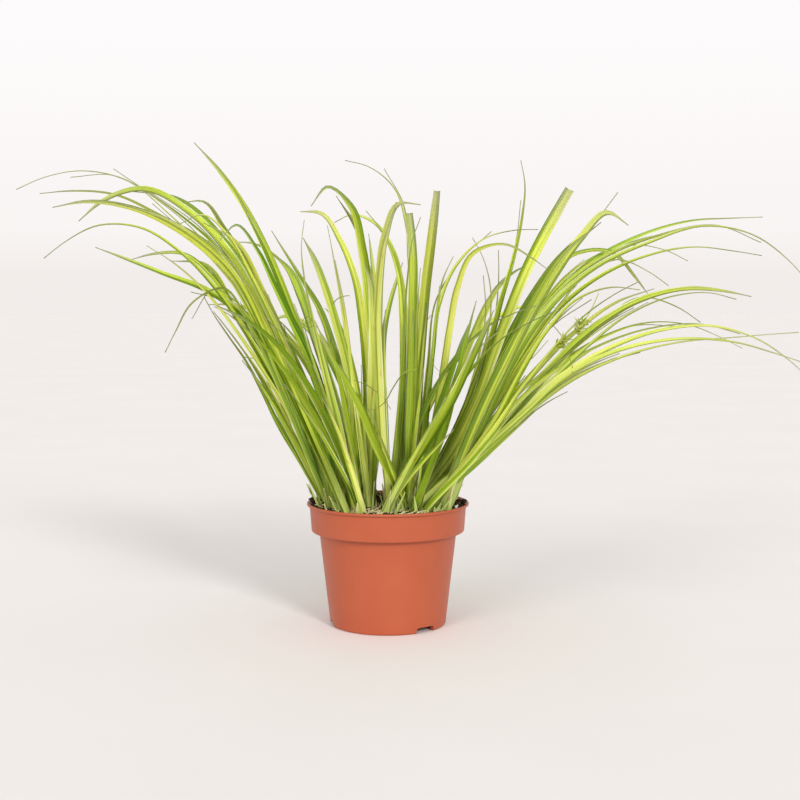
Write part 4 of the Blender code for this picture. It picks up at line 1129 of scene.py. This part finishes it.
disc = bmesh.new()
bmesh.ops.create_circle(disc, cap_ends=True, segments=96, radius=FLOOR_RADIUS)
floor = placed("studio_floor", mesh_of(disc, "studio_floor"))
floor.data.materials.append(white_board)
print("corners of the floor", len(floor.data.vertices))

# %% [markdown]
# The sky is painted like the leaf, in glazes: the colour at the horizon, then what covers it higher
# up, at the sides, which are darker, and overhead.

# %% Sky
world = bpy.data.worlds.new("studio")
bpy.context.scene.world = world
world.use_nodes = True
sky = world.node_tree
sky.nodes.clear()
sky_way = add(sky, "TexCoord", out="Generated")
sky_height = add(sky, "SeparateXYZ", [sky_way], out="Z")
sky_side = add(sky, "SeparateXYZ", [sky_way], out="X")
sky_side = add(sky, "Math", [sky_side], operation="ABSOLUTE")
sky_glazes = (  # by which measure, where it begins and covers in full, and colour
    (sky_height, 0.0, 0.03, "#F9F5F4"),
    (sky_height, 0.05, 0.15, "#FEFBFC"),
    (sky_side, 0.3, 0.9, "#C2C0BE"),
    (sky_height, 0.25, 0.75, "#D2D0CF"))
sky_colour = linear("#F2EDEA")
for measure, begins, full, paint in sky_glazes:
    share = add(sky, "MapRange", [measure, begins, full])
    sky_colour = add(sky, "Mix", {0: share, 6: sky_colour, 7: linear(paint)}, **OF_COLOURS)
add(sky, "OutputWorld", [add(sky, "Background", [sky_colour, 1.0])])
print("nodes of the sky", len(sky.nodes))

# %% [markdown]
# Two lamps do the rest, one on each side of the camera. They are suns with a wide disc, so that they
# light the far floor as well as the near one, with shadows as soft as those of a softbox. They stand
# low: the shadow under the pot's collar is short, and the clump's own falls far back on the floor.

# %% Lamps
def soft_sun(name, place, angle, strength):
    """A sun that shines from place towards the pot. Its disc is angle degrees wide."""
    lamp = placed(name, bpy.data.lights.new(name, "SUN"))
    lamp.data.angle, lamp.data.energy = math.radians(angle), strength
    lamp.location = place
    lamp.rotation_euler = (-Vector(place)).to_track_quat("-Z", "Y").to_euler()
    print(name, "shines from", place)


soft_sun("key", (0.45, -1.0, 0.52), 13, 1.5)
soft_sun("fill", (-0.6, -1.0, 0.6), 30, 0.9)

# %% [markdown]
# The camera stands where the photographer stood: 1.1 m away, level with the upper leaves, and
# tilted down by less than 5 degrees.

# %% Camera
camera = placed("camera", bpy.data.cameras.new("camera"))
camera.location = (0.00896, -1.100, 0.2592)
camera.rotation_euler = (math.radians(85.2), 0, 0)
camera.data.lens = 67.275
bpy.context.scene.camera = camera
bpy.context.scene.view_settings.view_transform = "Standard"
print("camera height", round(camera.location.z, 3), "m")
